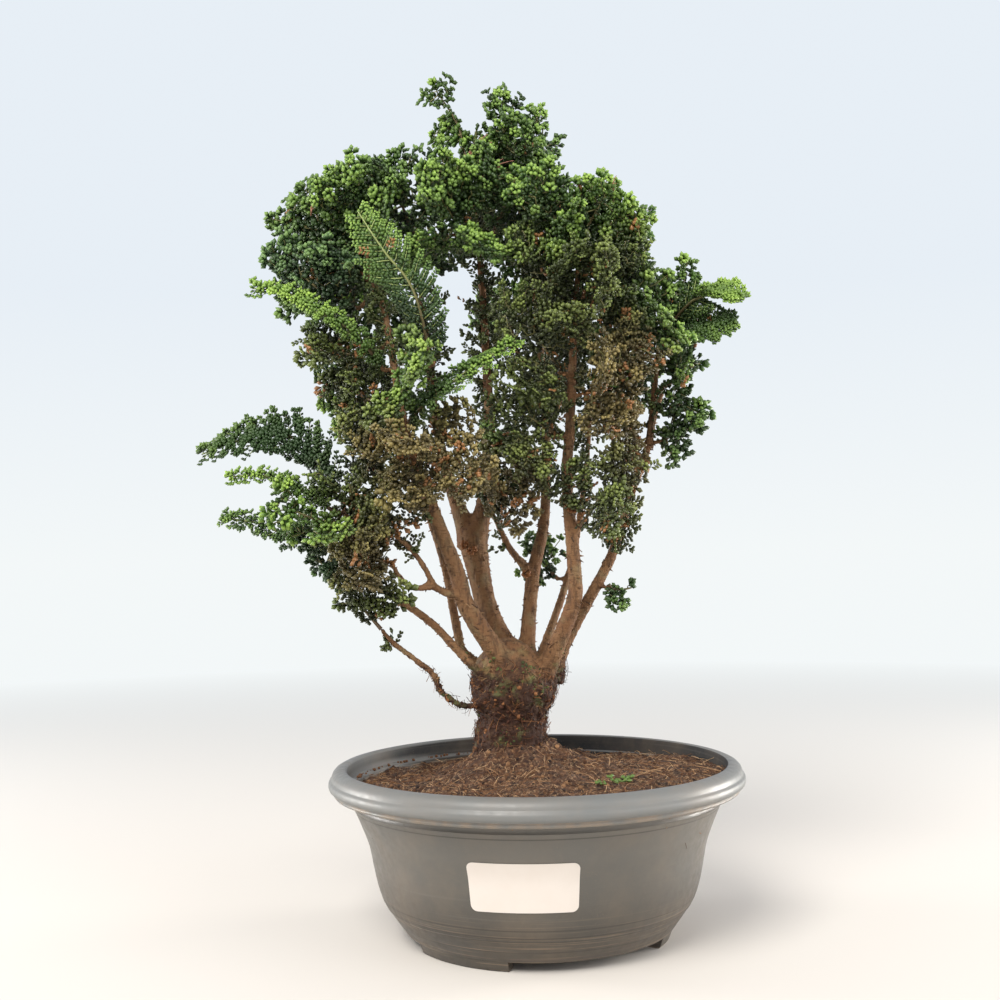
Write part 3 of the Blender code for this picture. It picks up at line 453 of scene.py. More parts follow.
def soil_height(x, y):
    """The surface of the soil, without its crumbs."""
    angle = math.atan2(x, -y)
    low_side = 0.5 - 0.5 * math.cos(angle - math.radians(SOIL_HIGH_SIDE_DEG))
    edge = SOIL_EDGE_HIGH - (SOIL_EDGE_HIGH - SOIL_EDGE_LOW) * low_side
    away = math.hypot(x - TRUNK_X, y - TRUNK_Y)
    mound = SOIL_MOUND * math.exp(-max(0.0, away - TRUNK_HOLE_RADIUS) / SOIL_MOUND_REACH)
    lumps = SOIL_LUMPS * math.sin(x / 9.0 + 1.0) * math.sin(y / 11.0)
    lumps += SOIL_RIPPLES * math.sin((x + y) / 6.0)
    from_hump = (x - HUMP_PLACE[0]) ** 2 + (y - HUMP_PLACE[1]) ** 2
    hump = HUMP_HEIGHT * math.exp(-from_hump / HUMP_REACH ** 2)
    return edge + mound + lumps + hump


verts = []
for column in range(SOIL_COLUMNS):
    angle = math.tau * column / SOIL_COLUMNS
    out = Vector((math.sin(angle), -math.cos(angle)))
    for radius, z in SOIL_SIDE_ROUTE[1:]:
        verts.append(at(radius * out.x, radius * out.y, z))
    edge_height = soil_height(out.x * SOIL_EDGE_RADIUS, out.y * SOIL_EDGE_RADIUS)
    edge_radius = radius_at(POT_INSIDE_ROUTE[::-1], edge_height) - SOIL_WALL_GAP
    centre = Vector((TRUNK_X, TRUNK_Y))
    for ring in range(SOIL_RINGS + 1):
        share = 1.0 - ring / SOIL_RINGS
        inner = centre + out * TRUNK_HOLE_RADIUS
        place = inner.lerp(out * edge_radius, share)
        verts.append(at(place.x, place.y, soil_height(place.x, place.y)))
    verts.append(at(inner.x, inner.y, TRUNK_HOLE_BOTTOM))
faces = ring_faces(SOIL_COLUMNS, len(verts) // SOIL_COLUMNS)
soil_plain = show("soil_plain", mesh_of("soil_plain", verts, faces))


def new_tree(name, inputs):
    """A geometry tree with named inputs; returns it with its input's and output's nodes."""
    tree = bpy.data.node_groups.new(name, "GeometryNodeTree")
    tree.interface.new_socket("Geometry", in_out="INPUT", socket_type="NodeSocketGeometry")
    for socket, kind in inputs:
        tree.interface.new_socket(socket, in_out="INPUT", socket_type="NodeSocket" + kind)
    tree.interface.new_socket("Geometry", in_out="OUTPUT", socket_type="NodeSocketGeometry")
    return tree, tree.nodes.new("NodeGroupInput").outputs, tree.nodes.new("NodeGroupOutput")


def grown_by(item, tree, values):
    """The plain mesh that a geometry tree makes of an object, which keeps its own mesh."""
    step = item.modifiers.new("tree", "NODES")
    step.node_group = tree
    for socket in tree.interface.items_tree:
        if socket.in_out == "INPUT" and socket.name in values:
            step[socket.identifier] = values[socket.name]
    graph = bpy.context.evaluated_depsgraph_get()
    mesh = bpy.data.meshes.new_from_object(item.evaluated_get(graph))
    item.modifiers.remove(step)
    return mesh


def end_tree(tree, geometry, finish, output):
    """Ends a geometry tree: what it placed is made real and gets its finish."""
    real = node_in(tree, "GeometryNodeRealizeInstances", {"Geometry": geometry}).outputs[0]
    dressed = node_in(tree, "GeometryNodeSetMaterial", {"Geometry": real, "Material": finish}).outputs[0]
    tree.links.new(dressed, output.inputs[0])


# Crumbs are raised from a surface by rough noise, and only where a range of heights says so
crumble, crumble_in, crumble_out = new_tree("Crumble", [
    ("Depth", "Float"), ("Grain", "Float"), ("From height", "Float"), ("To height", "Float"),
    ("Finish", "Material")])
place = node_in(crumble, "GeometryNodeInputPosition").outputs[0]
coarse = noise(crumble, place, crumble_in["Grain"], 4.0, 0.7)
lift = maths(crumble, "SUBTRACT", coarse, 0.5)
z = node_in(crumble, "ShaderNodeSeparateXYZ", {0: place}).outputs["Z"]
within = ranged(crumble, z, crumble_in["From height"], crumble_in["To height"])
lift = maths(crumble, "MULTIPLY", maths(crumble, "MULTIPLY", lift, crumble_in["Depth"]), within)
offset = scaled(crumble, node_in(crumble, "GeometryNodeInputNormal").outputs[0], lift)
moved = node_in(crumble, "GeometryNodeSetPosition", {
    "Geometry": crumble_in["Geometry"], "Offset": offset}).outputs[0]
end_tree(crumble, moved, crumble_in["Finish"], crumble_out)

PEAT_DARK = (0.022, 0.009, 0.005, 1.0)
PEAT_RED = (0.150, 0.066, 0.028, 1.0)
PEAT_STRAW = (0.52, 0.33, 0.18, 1.0)
PEAT_NEAR_TRUNK = (0.060, 0.022, 0.009, 1.0)
peat, tree, shader = finish_of("peat", 0.9)
place = object_place(tree)
colour = mixed(tree, ranged(tree, noise(tree, place, 260.0, 5.0, 0.7), 0.42, 0.66), PEAT_DARK, PEAT_RED)
colour = mixed(tree, ranged(tree, noise(tree, place, 620.0, 4.0, 0.7), 0.52, 0.70, 0.0, 0.75),
               colour, PEAT_STRAW)
from_trunk = node_in(tree, "ShaderNodeVectorMath", {
    0: place, 1: (foot_middle.x + TRUNK_X * MM, foot_middle.y + TRUNK_Y * MM, 85.0 * MM)},
    operation="DISTANCE").outputs["Value"]
# The peat is darker close to the trunk, with a ragged edge.
uneven = maths(tree, "MULTIPLY", noise(tree, place, 50.0), 30.0 * MM)
darker_near_trunk = ranged(tree, maths(tree, "ADD", from_trunk, uneven), 58.0 * MM, 36.0 * MM, 0.0, 0.4)
colour = mixed(tree, darker_near_trunk, colour, PEAT_NEAR_TRUNK)
tree.links.new(colour, shader.inputs["Base Color"])
bump(tree, shader, noise(tree, place, 700.0, 5.0, 0.75), 0.9, 1.0)
soil_mesh = grown_by(soil_plain, crumble, {
    "Depth": 8.0 * MM, "Grain": 150.0, "From height": SOIL_CRUMBS_FROM * MM,
    "To height": SOIL_CRUMBS_FULL * MM, "Finish": peat})
bpy.data.objects.remove(soil_plain, do_unlink=True)
soil = show("soil_bed", soil_mesh)
soil.data.shade_smooth()
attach(soil, "root")
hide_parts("soil")

# Wood: the trunk, its limbs and the twigs that carry the leafy stems grew as one piece.
# Each limb swells where it leaves the wood it grows from. Routes: x, y, z, radius.
TRUNK_RINGS = [
    (57.0, -13.0, 0.0, 17.0), (62.0, -13.0, 0.0, 18.6), (101.0, -13.0, 0.0, 18.8),
    (107.0, -12.5, 0.0, 18.2), (114.0, -12.0, 0.0, 18.0), (120.0, -12.0, 0.0, 20.2),
    (127.0, -11.5, 0.0, 22.4), (135.0, -10.5, 0.5, 22.2), (142.0, -8.5, 1.0, 19.6),
    (148.0, -6.0, 1.5, 14.0), (151.0, -4.0, 2.0, 7.0),
]
LIMBS = {
    "low_left": [
        (-18, -5, 125, 2.6), (-34, -14, 121, 1.9), (-42, -18, 124, 1.8), (-49, -20, 130, 1.8),
        (-54, -22, 140, 1.8), (-70, -24, 153, 1.6), (-75, -26, 158, 1.5)],
    "second_left": [
        (-16, -5, 127, 3.6), (-30, -14, 139, 2.5), (-53, -20, 165, 2.2), (-72, -24, 179, 2.0),
        (-81, -26, 187, 1.9), (-88, -27, 200, 1.8), (-97, -29, 226, 1.5)],
    "back_left": [
        (-18, 8, 133, 4.0), (-37, 12, 146, 2.8), (-41, 15, 158, 2.6), (-48, 26, 195, 2.4),
        (-59, 40, 229, 2.1), (-68, 48, 250, 1.9), (-76, 54, 275, 1.7), (-80, 56, 297, 1.5)],
    "front_left": [
        (-8, -6, 136, 7.0), (-19, -14, 148, 5.6), (-35, -22, 174, 4.8), (-39, -26, 190, 4.4),
        (-52, -33, 227, 3.4), (-63, -35, 260, 2.7), (-67, -33, 280, 2.4), (-71, -29, 307, 2.1),
        (-76, -23, 332, 1.8), (-83, -17, 350, 1.5)],
    "front_left_fork": [
        (-37, -25, 180, 2.0), (-45, -28, 181, 1.8), (-51, -30, 185, 1.7), (-55, -33, 193, 1.6),
        (-60, -36, 201, 1.5), (-66, -39, 208, 1.4)],
    "front_left_twig": [
        (-51, -30, 185, 1.5), (-61, -32, 184, 1.4), (-67, -33, 188, 1.4), (-71, -34, 193, 1.4)],
    "leader": [
        (-7, 5, 134, 9.0), (-17, 10, 152, 7.2), (-24, 14, 169, 6.1), (-28, 18, 186, 6.2),
        (-31, 20, 203, 7.6), (-33, 22, 214, 7.4)],
    "leader_left": [
        (-32, 21, 207, 6.2), (-39, 26, 225, 4.4), (-45, 32, 243, 3.4), (-50, 36, 266, 2.8),
        (-54, 38, 295, 2.3), (-56, 36, 323, 1.8), (-59, 31, 348, 1.5)],
    "leader_right": [
        (-32, 21, 205, 6.0), (-26, 22, 225, 4.6), (-23, 22, 244, 3.8), (-21, 20, 269, 3.2),
        (-22, 18, 297, 2.7), (-23, 14, 330, 2.3), (-25, 10, 368, 1.9), (-28, 7, 400, 1.5)],
    "centre": [
        (-4, 2, 134, 6.0), (-3, 6, 154, 4.2), (1, 10, 190, 3.8), (8, 16, 220, 3.0),
        (10, 24, 269, 2.4), (9, 28, 303, 2.1), (6, 30, 343, 1.8), (3, 28, 378, 1.5)],
    "centre_fork": [
        (1, 10, 187, 2.6), (-4, 7, 194, 2.1), (-10, 4, 201, 1.9), (-14, 2, 208, 1.8),
        (-18, 0, 217, 1.6), (-22, -4, 225, 1.5)],
    "right": [
        (2, -5, 132, 6.0), (10, -10, 147, 4.7), (21, -15, 174, 4.1), (22, -17, 190, 3.8),
        (19, -17, 238, 3.1), (21, -16, 262, 2.8), (23, -14, 292, 2.4), (26, -10, 333, 1.9),
        (29, -8, 358, 1.5)],
    "far_right": [
        (8, 2, 134, 5.6), (18, 3, 154, 3.8), (39, 4, 190, 3.0), (47, 6, 207, 2.8),
        (56, 10, 234, 2.4), (66, 14, 260, 2.1), (72, 17, 303, 1.7), (75, 17, 318, 1.5)],
    "behind": [
        (2, 12, 134, 4.0), (8, 24, 152, 2.6), (19, 42, 179, 2.2), (25, 52, 197, 2.1),
        (30, 62, 220, 2.0), (35, 70, 249, 1.8), (38, 74, 276, 1.5)],
    "back_right": [
        (9, 24, 262, 2.1), (18, 38, 285, 1.8), (28, 52, 308, 1.7), (34, 60, 334, 1.5)],
    "back_centre": [
        (9, 27, 292, 2.0), (4, 44, 306, 1.7), (-4, 60, 318, 1.6), (-8, 68, 336, 1.5)],
    "right_back_twig": [
        (66, 14, 258, 1.9), (71, 28, 274, 1.6), (78, 40, 292, 1.5)],
}

# Leafy stems: name, limb, tone, route. Each starts on a twig of its limb. Those that are
# listed as fronds further down are one long feathery spray, the others are bushy branches.
STEMS = [
    ("fern_frond", "front_left", "bright",
     [(-50, -43, 300), (-54, -55, 322), (-60, -60, 337), (-71, -62, 351), (-84, -58, 372)]),
    ("long_frond", "front_left", "bright",
     [(-76, -36, 298), (-89, -48, 314), (-105, -50, 324), (-123, -44, 335), (-141, -38, 339)]),
    ("centre_frond", "front_left", "bright",
     [(-62, -46, 268), (-50, -62, 277), (-30, -66, 291), (-7, -58, 306)]),
    ("arm_upper", "second_left", "green",
     [(-99, -29, 234), (-110, -28, 254), (-129, -24, 265), (-151, -20, 263), (-173, -16, 256)]),
    ("arm_middle", "second_left", "bright",
     [(-101, -44, 224), (-116, -48, 235), (-134, -48, 242), (-152, -44, 242)]),
    ("arm_lower", "second_left", "green",
     [(-98, -32, 207), (-121, -32, 211), (-142, -26, 219), (-161, -20, 222)]),
    ("right_arm_upper", "far_right", "bright",
     [(80, 12, 326), (92, 4, 337), (107, 0, 339), (116, -4, 335)]),
    ("right_arm_lower", "far_right", "green", [(76, 11, 314), (93, 6, 320), (112, 2, 323)]),
    ("top_tip", "leader_right", "bright", [(-30, 4, 412), (-35, 1, 434), (-46, -2, 452)]),
    ("top_centre", "leader_right", "green", [(-17, 4, 404), (-12, 2, 420), (-11, -2, 434)]),
    ("top_right", "centre", "green", [(-1, 18, 392), (6, 12, 410), (11, 8, 427)]),
    ("upper_left_inner", "leader_right", "dark", [(-60, -2, 374), (-66, -8, 390), (-66, -10, 406)]),
    ("upper_left", "front_left", "green", [(-85, -16, 364), (-88, -17, 382), (-90, -18, 400)]),
    ("left_sprig", "front_left", "green", [(-97, -16, 358), (-107, -18, 374), (-114, -16, 391)]),
    ("left_outer", "front_left", "dark", [(-97, -4, 346), (-112, -4, 358), (-123, -4, 372)]),
    ("left_low", "front_left", "blue", [(-92, -14, 334), (-107, -20, 340), (-119, -22, 350)]),
    ("left_olive_upper", "front_left", "olive",
     [(-82, -22, 308), (-96, -22, 307), (-107, -18, 318)]),
    ("left_olive_lower", "front_left", "olive",
     [(-76, -30, 282), (-90, -30, 282), (-101, -26, 291)]),
    ("left_olive_bottom", "front_left", "olive",
     [(-70, -34, 262), (-82, -30, 260), (-93, -26, 258)]),
    ("centre_bright", "front_left", "bright", [(-66, -45, 284), (-62, -58, 287), (-57, -68, 290)]),
    ("hanging", "front_left", "brown", [(-58, -45, 252), (-53, -55, 251), (-43, -61, 246)]),
    ("hanging_left", "front_left", "brown", [(-63, -43, 251), (-68, -52, 246), (-75, -56, 240)]),
    ("arm_bright", "second_left", "bright", [(-98, -44, 216), (-107, -58, 219), (-118, -64, 224)]),
    ("rosette", "second_left", "olive", [(-91, -34, 222), (-91, -44, 230), (-91, -52, 237)]),
    ("left_mass", "second_left", "blue", [(-91, -30, 188), (-101, -29, 191), (-109, -25, 197)]),
    ("low_hanging", "low_left", "olive", [(-79, -27, 163), (-88, -29, 174), (-97, -30, 184)]),
    ("fork_tip", "front_left_fork", "olive", [(-69, -41, 212), (-72, -45, 220), (-74, -48, 229)]),
    ("fork_twig_tip", "front_left_twig", "brown",
     [(-74, -36, 196), (-80, -39, 199), (-87, -42, 202)]),
    ("sleeve_left_low", "right", "olive", [(15, -20, 262), (7, -28, 266), (-1, -32, 271)]),
    ("sleeve_left_mid", "right", "olive", [(18, -18, 296), (10, -28, 304), (3, -32, 315)]),
    ("sleeve_left_top", "right", "olive", [(21, -14, 331), (15, -24, 340), (8, -28, 351)]),
    ("sleeve_right_top", "right", "olive", [(31, -14, 332), (39, -22, 339), (46, -24, 349)]),
    ("sleeve_right_low", "right", "brown", [(28, -18, 284), (37, -26, 288), (46, -28, 297)]),
    ("bright_top", "right", "bright", [(30, -10, 364), (34, -20, 374), (40, -27, 383)]),
    ("bright_top_left", "right", "green", [(25, -12, 358), (19, -24, 368), (13, -31, 378)]),
    ("face_left", "leader_right", "green", [(-30, -2, 366), (-35, -22, 372), (-41, -38, 380)]),
    ("face_right", "leader_right", "green", [(-17, -1, 376), (-11, -20, 384), (-5, -34, 394)]),
    ("right_crown_top", "right", "green", [(36, 0, 366), (47, 4, 377), (58, 4, 388)]),
    ("right_crown_side", "right", "green", [(40, 4, 352), (54, 7, 361), (66, 5, 367)]),
    ("right_sprig", "far_right", "bright", [(78, 17, 326), (85, 16, 341), (89, 14, 353)]),
    ("right_mid", "far_right", "green", [(66, 6, 309), (58, -8, 321), (55, -15, 334)]),
    ("right_low", "far_right", "green", [(75, 13, 290), (84, 8, 296), (92, 6, 302)]),
    ("right_lower", "far_right", "dark", [(73, 11, 261), (82, 8, 265), (92, 6, 268)]),
    ("right_hang", "far_right", "brown", [(60, 5, 246), (57, -8, 258), (50, -14, 267)]),
    ("between", "right", "olive", [(25, -20, 214), (32, -26, 224), (40, -28, 235)]),
    ("low_sprig", "far_right", "dark", [(42, 0, 181), (47, -2, 180), (53, -3, 181)]),
    ("dark_sprig", "behind", "dark", [(14, 48, 188), (9, 51, 194), (6, 52, 201)]),
    ("centre_low_left", "centre_fork", "brown", [(-21, -8, 228), (-17, -15, 234), (-11, -20, 240)]),
    ("centre_low_right", "centre", "dark", [(6, 14, 238), (0, 2, 246), (-7, -6, 254)]),
    ("back_top", "centre", "dark", [(3, 30, 382), (6, 35, 397), (5, 40, 412)]),
    ("back_top_left", "leader_left", "dark", [(-60, 32, 352), (-66, 40, 368), (-66, 44, 386)]),
    ("back_left_upper", "back_left", "green", [(-81, 57, 301), (-88, 58, 318), (-93, 55, 336)]),
    ("back_left_low", "back_left", "green", [(-72, 52, 252), (-85, 60, 262), (-96, 62, 274)]),
    ("back_right_upper", "back_right", "green", [(35, 62, 338), (38, 64, 355), (36, 62, 374)]),
    ("back_right_low", "behind", "dark", [(39, 75, 280), (43, 78, 294), (46, 76, 310)]),
    ("back_middle", "back_centre", "green", [(-9, 70, 340), (-11, 76, 356), (-10, 76, 374)]),
]

TWIG_RADIUS = 1.3
TWIG_STRAIGHT = 3.5
TRUNK_SIDES = 48
LIMB_SIDES = 12
TWIG_SIDES = 8
COLLAR_SWELL = 0.55
COLLAR_REACH = 9.0
VOXEL = 1.05


def add_tube(verts, faces, route, sides):
    """Adds a closed round bar along points of x, y, z, radius to a mesh in the making."""
    line = [Vector(point[:3]) for point in route]
    base = len(verts)
    face_up = None
    for k, place in enumerate(line):
        ahead = (line[min(k + 1, len(line) - 1)] - line[max(k - 1, 0)]).normalized()
        if face_up is None:
            face_up = ahead.orthogonal()
        face_up = (face_up - ahead * face_up.dot(ahead)).normalized()
        across = ahead.cross(face_up)
        for side in range(sides):
            turn = math.tau * side / sides
            reach = (face_up * math.cos(turn) + across * math.sin(turn)) * route[k][3]
            verts.append(at(*(place + reach)))
    faces.append(tuple(base + side for side in reversed(range(sides))))
    for k in range(len(line) - 1):
        for side in range(sides):
            low = base + k * sides + side
            after = base + k * sides + (side + 1) % sides
            faces.append((low, after, after + sides, low + sides))
    last = base + (len(line) - 1) * sides
    faces.append(tuple(last + side for side in range(sides)))


def swollen(route):
    """A limb's route with its collar, which swells where the limb leaves other wood."""
    gone = 0.0
    made = []
    for k, point in enumerate(route):
        if k:
            gone += math.dist(point[:3], route[k - 1][:3])
        made.append((*point[:3], point[3] * (1 + COLLAR_SWELL * math.exp(-gone / COLLAR_REACH))))
    return made


def nearest_on_limb(limb, target):
    """The point on a limb's middle line from which a twig sets out for the target."""
    best = None
    points = [Vector(p[:3]) for p in LIMBS[limb]]
    for a, b in zip(points, points[1:]):
        run = b - a
        share = min(1.0 - 2.5 / run.length, max(0.0, (target - a).dot(run) / run.length_squared))
        place = a + run * share
        if best is None or (place - target).length < (best - target).length:
            best = place
    return best


verts = []
faces = []
trunk_route = round_curve([(x, y, z, radius) for z, x, y, radius in TRUNK_RINGS], 3)
add_tube(verts, faces, trunk_route, TRUNK_SIDES)
for route in LIMBS.values():
    add_tube(verts, faces, swollen(round_curve(route, 6)), LIMB_SIDES)
for name, limb, tone, route in STEMS:
    start = Vector(route[0])
    ahead = (Vector(route[1]) - start).normalized()
    origin = nearest_on_limb(limb, start)
    bend = start - ahead * TWIG_STRAIGHT
    twig = round_curve([tuple(origin), tuple(bend), tuple(start)], 4)
    add_tube(verts, faces, [(*p, TWIG_RADIUS) for p in twig], TWIG_SIDES)
rough_wood = show("rough_wood", mesh_of("rough_wood", verts, faces))
step = rough_wood.modifiers.new("one_skin", "REMESH")
step.mode = "VOXEL"
step.voxel_size = VOXEL * MM
step = rough_wood.modifiers.new("fillets", "SMOOTH")
step.factor = 0.6
step.iterations = 3
rough_wood = show("rough_wood", plain_mesh(rough_wood))

BARK_TAN = (0.225, 0.118, 0.050, 1.0)
BARK_RED = (0.165, 0.074, 0.028, 1.0)
BARK_DARK = (0.045, 0.020, 0.008, 1.0)
BARK_GREY = (0.205, 0.150, 0.072, 1.0)
BARK_MOSS = (0.11, 0.125, 0.038, 1.0)
ROOTLET_BROWN = (0.030, 0.0085, 0.003, 1.0)
TANGLE_FROM = 152.0
TANGLE_FULL = 132.0
PEATY_FROM = 144.0
PEATY_FULL = 134.0
MOSSY_FROM = 158.0
MOSSY_FULL = 136.0
RIDGES_FROM = 460.0
RIDGES_FULL = 100.0
bark, tree, shader = finish_of("bark_brown", 0.82)
place = object_place(tree)
streaks = noise(tree, object_place(tree, (1.0, 1.0, 0.22)), 420.0, 4.0, 0.65)
height = node_in(tree, "ShaderNodeSeparateXYZ", {0: place}).outputs["Z"]
colour = mixed(tree, ranged(tree, noise(tree, place, 45.0, 4.0), 0.38, 0.64), BARK_RED, BARK_TAN)
weathered = ranged(tree, noise(tree, place, 110.0, 3.0), 0.52, 0.70, 0.0, 0.7)
colour = mixed(tree, weathered, colour, BARK_GREY)
cracks = noise(tree, object_place(tree, (0.45, 0.45, 1.8)), 520.0, 3.0, 0.6)
colour = mixed(tree, ranged(tree, streaks, 0.50, 0.38, 0.0, 0.6), colour, BARK_DARK)
colour = mixed(tree, ranged(tree, cracks, 0.43, 0.34, 0.0, 0.6), colour, BARK_DARK)
edge_noise = ranged(tree, noise(tree, place, 90.0, 4.0, 0.6), 0.3, 0.7, -9.0 * MM, 9.0 * MM)
low_down = ranged(tree, maths(tree, "ADD", height, edge_noise), PEATY_FROM * MM, PEATY_FULL * MM)
tangle = ranged(tree, noise(tree, place, 300.0, 4.0, 0.7), 0.36, 0.66, 1.0, 0.8)
peaty = maths(tree, "MULTIPLY", low_down, tangle)
colour = mixed(tree, peaty, colour, ROOTLET_BROWN)
mossy = maths(tree, "MULTIPLY", ranged(tree, height, MOSSY_FROM * MM, MOSSY_FULL * MM),
              ranged(tree, noise(tree, place, 75.0, 4.0, 0.6), 0.56, 0.68, 0.0, 0.75))
colour = mixed(tree, mossy, colour, BARK_MOSS)
tree.links.new(colour, shader.inputs["Base Color"])
scaly = maths(tree, "ADD", maths(tree, "ADD", streaks, cracks), noise(tree, place, 900.0, 4.0, 0.7))
bump(tree, shader, scaly, 0.9, 0.7)
rough_wood.data = grown_by(rough_wood, crumble, {
    "Depth": 7.0 * MM, "Grain": 105.0, "From height": TANGLE_FROM * MM,
    "To height": TANGLE_FULL * MM, "Finish": bark})
wood_mesh = grown_by(rough_wood, crumble, {
    "Depth": 2.1 * MM, "Grain": 420.0, "From height": RIDGES_FROM * MM,
    "To height": RIDGES_FULL * MM, "Finish": bark})
bpy.data.objects.remove(rough_wood, do_unlink=True)
wood = show("trunk_and_limbs", wood_mesh)
wood.data.shade_smooth()
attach(wood, "root")
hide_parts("wood")

# Fibres, straws, crumbs, bark scales, snags and moss: small things that lie on the soil or
# stand off the bark. Each is a few faces, repeated by one tree that scatters them over a surface.


def more_than(tree, first, second):
    return node_in(tree, "FunctionNodeCompare", {
        0: first, 1: second}, operation="GREATER_THAN").outputs[0]


scatter, scatter_in, scatter_out = new_tree("Scatter", [
    ("Things", "Collection"), ("Density", "Float"), ("Seed", "Int"), ("Lowest", "Float"),
    ("Highest", "Float"), ("Patches", "Float"), ("Patch edge", "Float"), ("Smallest", "Float"),
    ("Largest", "Float"), ("Lean", "Float"), ("Sunk", "Float"), ("Finish", "Material")])
place = node_in(scatter, "GeometryNodeInputPosition").outputs[0]
z = node_in(scatter, "ShaderNodeSeparateXYZ", {0: place}).outputs["Z"]
patchy = noise(scatter, place, scatter_in["Patches"], 2.0)
chosen = more_than(scatter, patchy, scatter_in["Patch edge"])
above = more_than(scatter, z, scatter_in["Lowest"])
below = more_than(scatter, scatter_in["Highest"], z)
for condition in (above, below):
    chosen = node_in(scatter, "FunctionNodeBooleanMath", {
        0: chosen, 1: condition}, operation="AND").outputs[0]
dots = node_in(scatter, "GeometryNodeDistributePointsOnFaces", {
    "Mesh": scatter_in["Geometry"], "Selection": chosen, "Density": scatter_in["Density"],
    "Seed": scatter_in["Seed"]})
sunk = scaled(scatter, dots.outputs["Normal"], maths(scatter, "MULTIPLY", scatter_in["Sunk"], -1.0))
seated = node_in(scatter, "GeometryNodeSetPosition", {
    "Geometry": dots.outputs["Points"], "Offset": sunk}).outputs[0]
leaning = node_in(scatter, "ShaderNodeCombineXYZ", {
    "X": scatter_in["Lean"], "Y": scatter_in["Lean"], "Z": math.pi}).outputs[0]
turn = node_in(scatter, "FunctionNodeRandomValue", {
    0: scaled(scatter, leaning, -1.0), 1: leaning, "Seed": scatter_in["Seed"]},
    data_type="FLOAT_VECTOR").outputs[0]
rotation = node_in(scatter, "FunctionNodeRotateRotation", {
    0: dots.outputs["Rotation"], 1: turn}, rotation_space="LOCAL").outputs[0]
size = node_in(scatter, "FunctionNodeRandomValue", {
    2: scatter_in["Smallest"], 3: scatter_in["Largest"], "Seed": scatter_in["Seed"]},
    data_type="FLOAT").outputs[1]
things = node_in(scatter, "GeometryNodeCollectionInfo", {
    "Collection": scatter_in["Things"], "Separate Children": True, "Reset Children": True}).outputs[0]
kind = node_in(scatter, "FunctionNodeRandomValue", {4: 0, 5: 9, "Seed": 5}, data_type="INT").outputs[2]
placed = node_in(scatter, "GeometryNodeInstanceOnPoints", {
    "Points": seated, "Instance": things, "Pick Instance": True, "Instance Index": kind,
    "Rotation": rotation, "Scale": size}).outputs[0]
chance = node_in(scatter, "FunctionNodeRandomValue", {2: 0.0, 3: 1.0, "Seed": 11},
                 data_type="FLOAT").outputs[1]
marked = node_in(scatter, "GeometryNodeStoreNamedAttribute", {
    "Geometry": placed, "Name": "chance", "Value": chance}, data_type="FLOAT",
    domain="INSTANCE").outputs[0]
end_tree(scatter, marked, scatter_in["Finish"], scatter_out)

chances = np.random.default_rng(7)


def small_thing(kit, name, verts, faces):
    """Adds a small shape, drawn in millimetres about its own root, to a kit of shapes."""
    mesh = mesh_of(name, [Vector(v) * MM for v in verts], faces)
    mesh.shade_smooth()
    kit.objects.link(bpy.data.objects.new(name, mesh))


def strand(length, thickness, bend, sides=3, joints=4):
    """A bent fibre that lies along X, as points and faces."""
    verts = []
    faces = [tuple(reversed(range(sides)))]
    for k in range(joints):
        t = k / (joints - 1)
        half = thickness / 2 * (1 - 0.6 * t)
        middle = ((t - 0.5) * length, bend[0] * math.sin(math.pi * t), bend[1] * math.sin(2.3 * t))
        for side in range(sides):
            turn = math.tau * side / sides
            verts.append((
                middle[0], middle[1] + half * math.cos(turn), middle[2] + half * math.sin(turn)))
        if k:
            low = (k - 1) * sides
            for side in range(sides):
                after = (side + 1) % sides
                faces.append((low + side, low + after, low + after + sides, low + side + sides))
    faces.append(tuple(range((joints - 1) * sides, joints * sides)))
    return verts, faces


def crumb(size):
    """A lump of peat with uneven corners."""
    work = bmesh.new()
    bmesh.ops.create_icosphere(work, subdivisions=1, radius=size)
    verts = [tuple(v.co * chances.uniform(0.65, 1.25)) for v in work.verts]
    faces = [tuple(v.index for v in face.verts) for face in work.faces]
    work.free()
    return verts, faces


fibre_kit = bpy.data.collections.new("fibres")
for k in range(8):
    length = 3.2 + 0.75 * k
    bend = (chances.uniform(-1.4, 1.4), chances.uniform(0.2, 1.5))
    small_thing(fibre_kit, f"fibre_{k}", *strand(length, 0.36 + 0.05 * (k % 3), bend))
crumb_kit = bpy.data.collections.new("crumbs")
for k in range(5):
    small_thing(crumb_kit, f"crumb_{k}", *crumb(0.55 + 0.22 * k))


def attribute(tree, name, output="Fac"):
    return node_in(tree, "ShaderNodeAttribute", attribute_name=name).outputs[output]


def small_finish(name, dark, middle, pale, roughness=0.85):
    """A finish whose tone differs from one small thing to the next."""
    material, tree, shader = finish_of(name, roughness)
    chance = attribute(tree, "chance")
    colour = mixed(tree, ranged(tree, chance, 0.0, 0.6), dark, middle)
    colour = mixed(tree, ranged(tree, chance, 0.6, 1.0), colour, pale)
    grain = noise(tree, object_place(tree), 700.0, 3.0, 0.7)
    colour = mixed(tree, ranged(tree, grain, 0.35, 0.65, 0.0, 0.45), colour, dark)
    tree.links.new(colour, shader.inputs["Base Color"])
    bump(tree, shader, grain, 0.4, 0.2)
    return material


def strewn(name, surface, kit, finish, slot, **values):
    """A piece made of the small things of a kit, scattered over another piece."""
    settings = {"Lowest": 0.0, "Highest": 1.0, "Patches": 50.0, "Patch edge": 0.0, "Lean": 0.3,
                "Sunk": 0.0, "Things": kit, "Finish": finish}
    settings.update({key.replace("_", " ").capitalize(): value for key, value in values.items()})
    piece = show(name, grown_by(surface, scatter, settings))
    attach(piece, "root")
    return piece


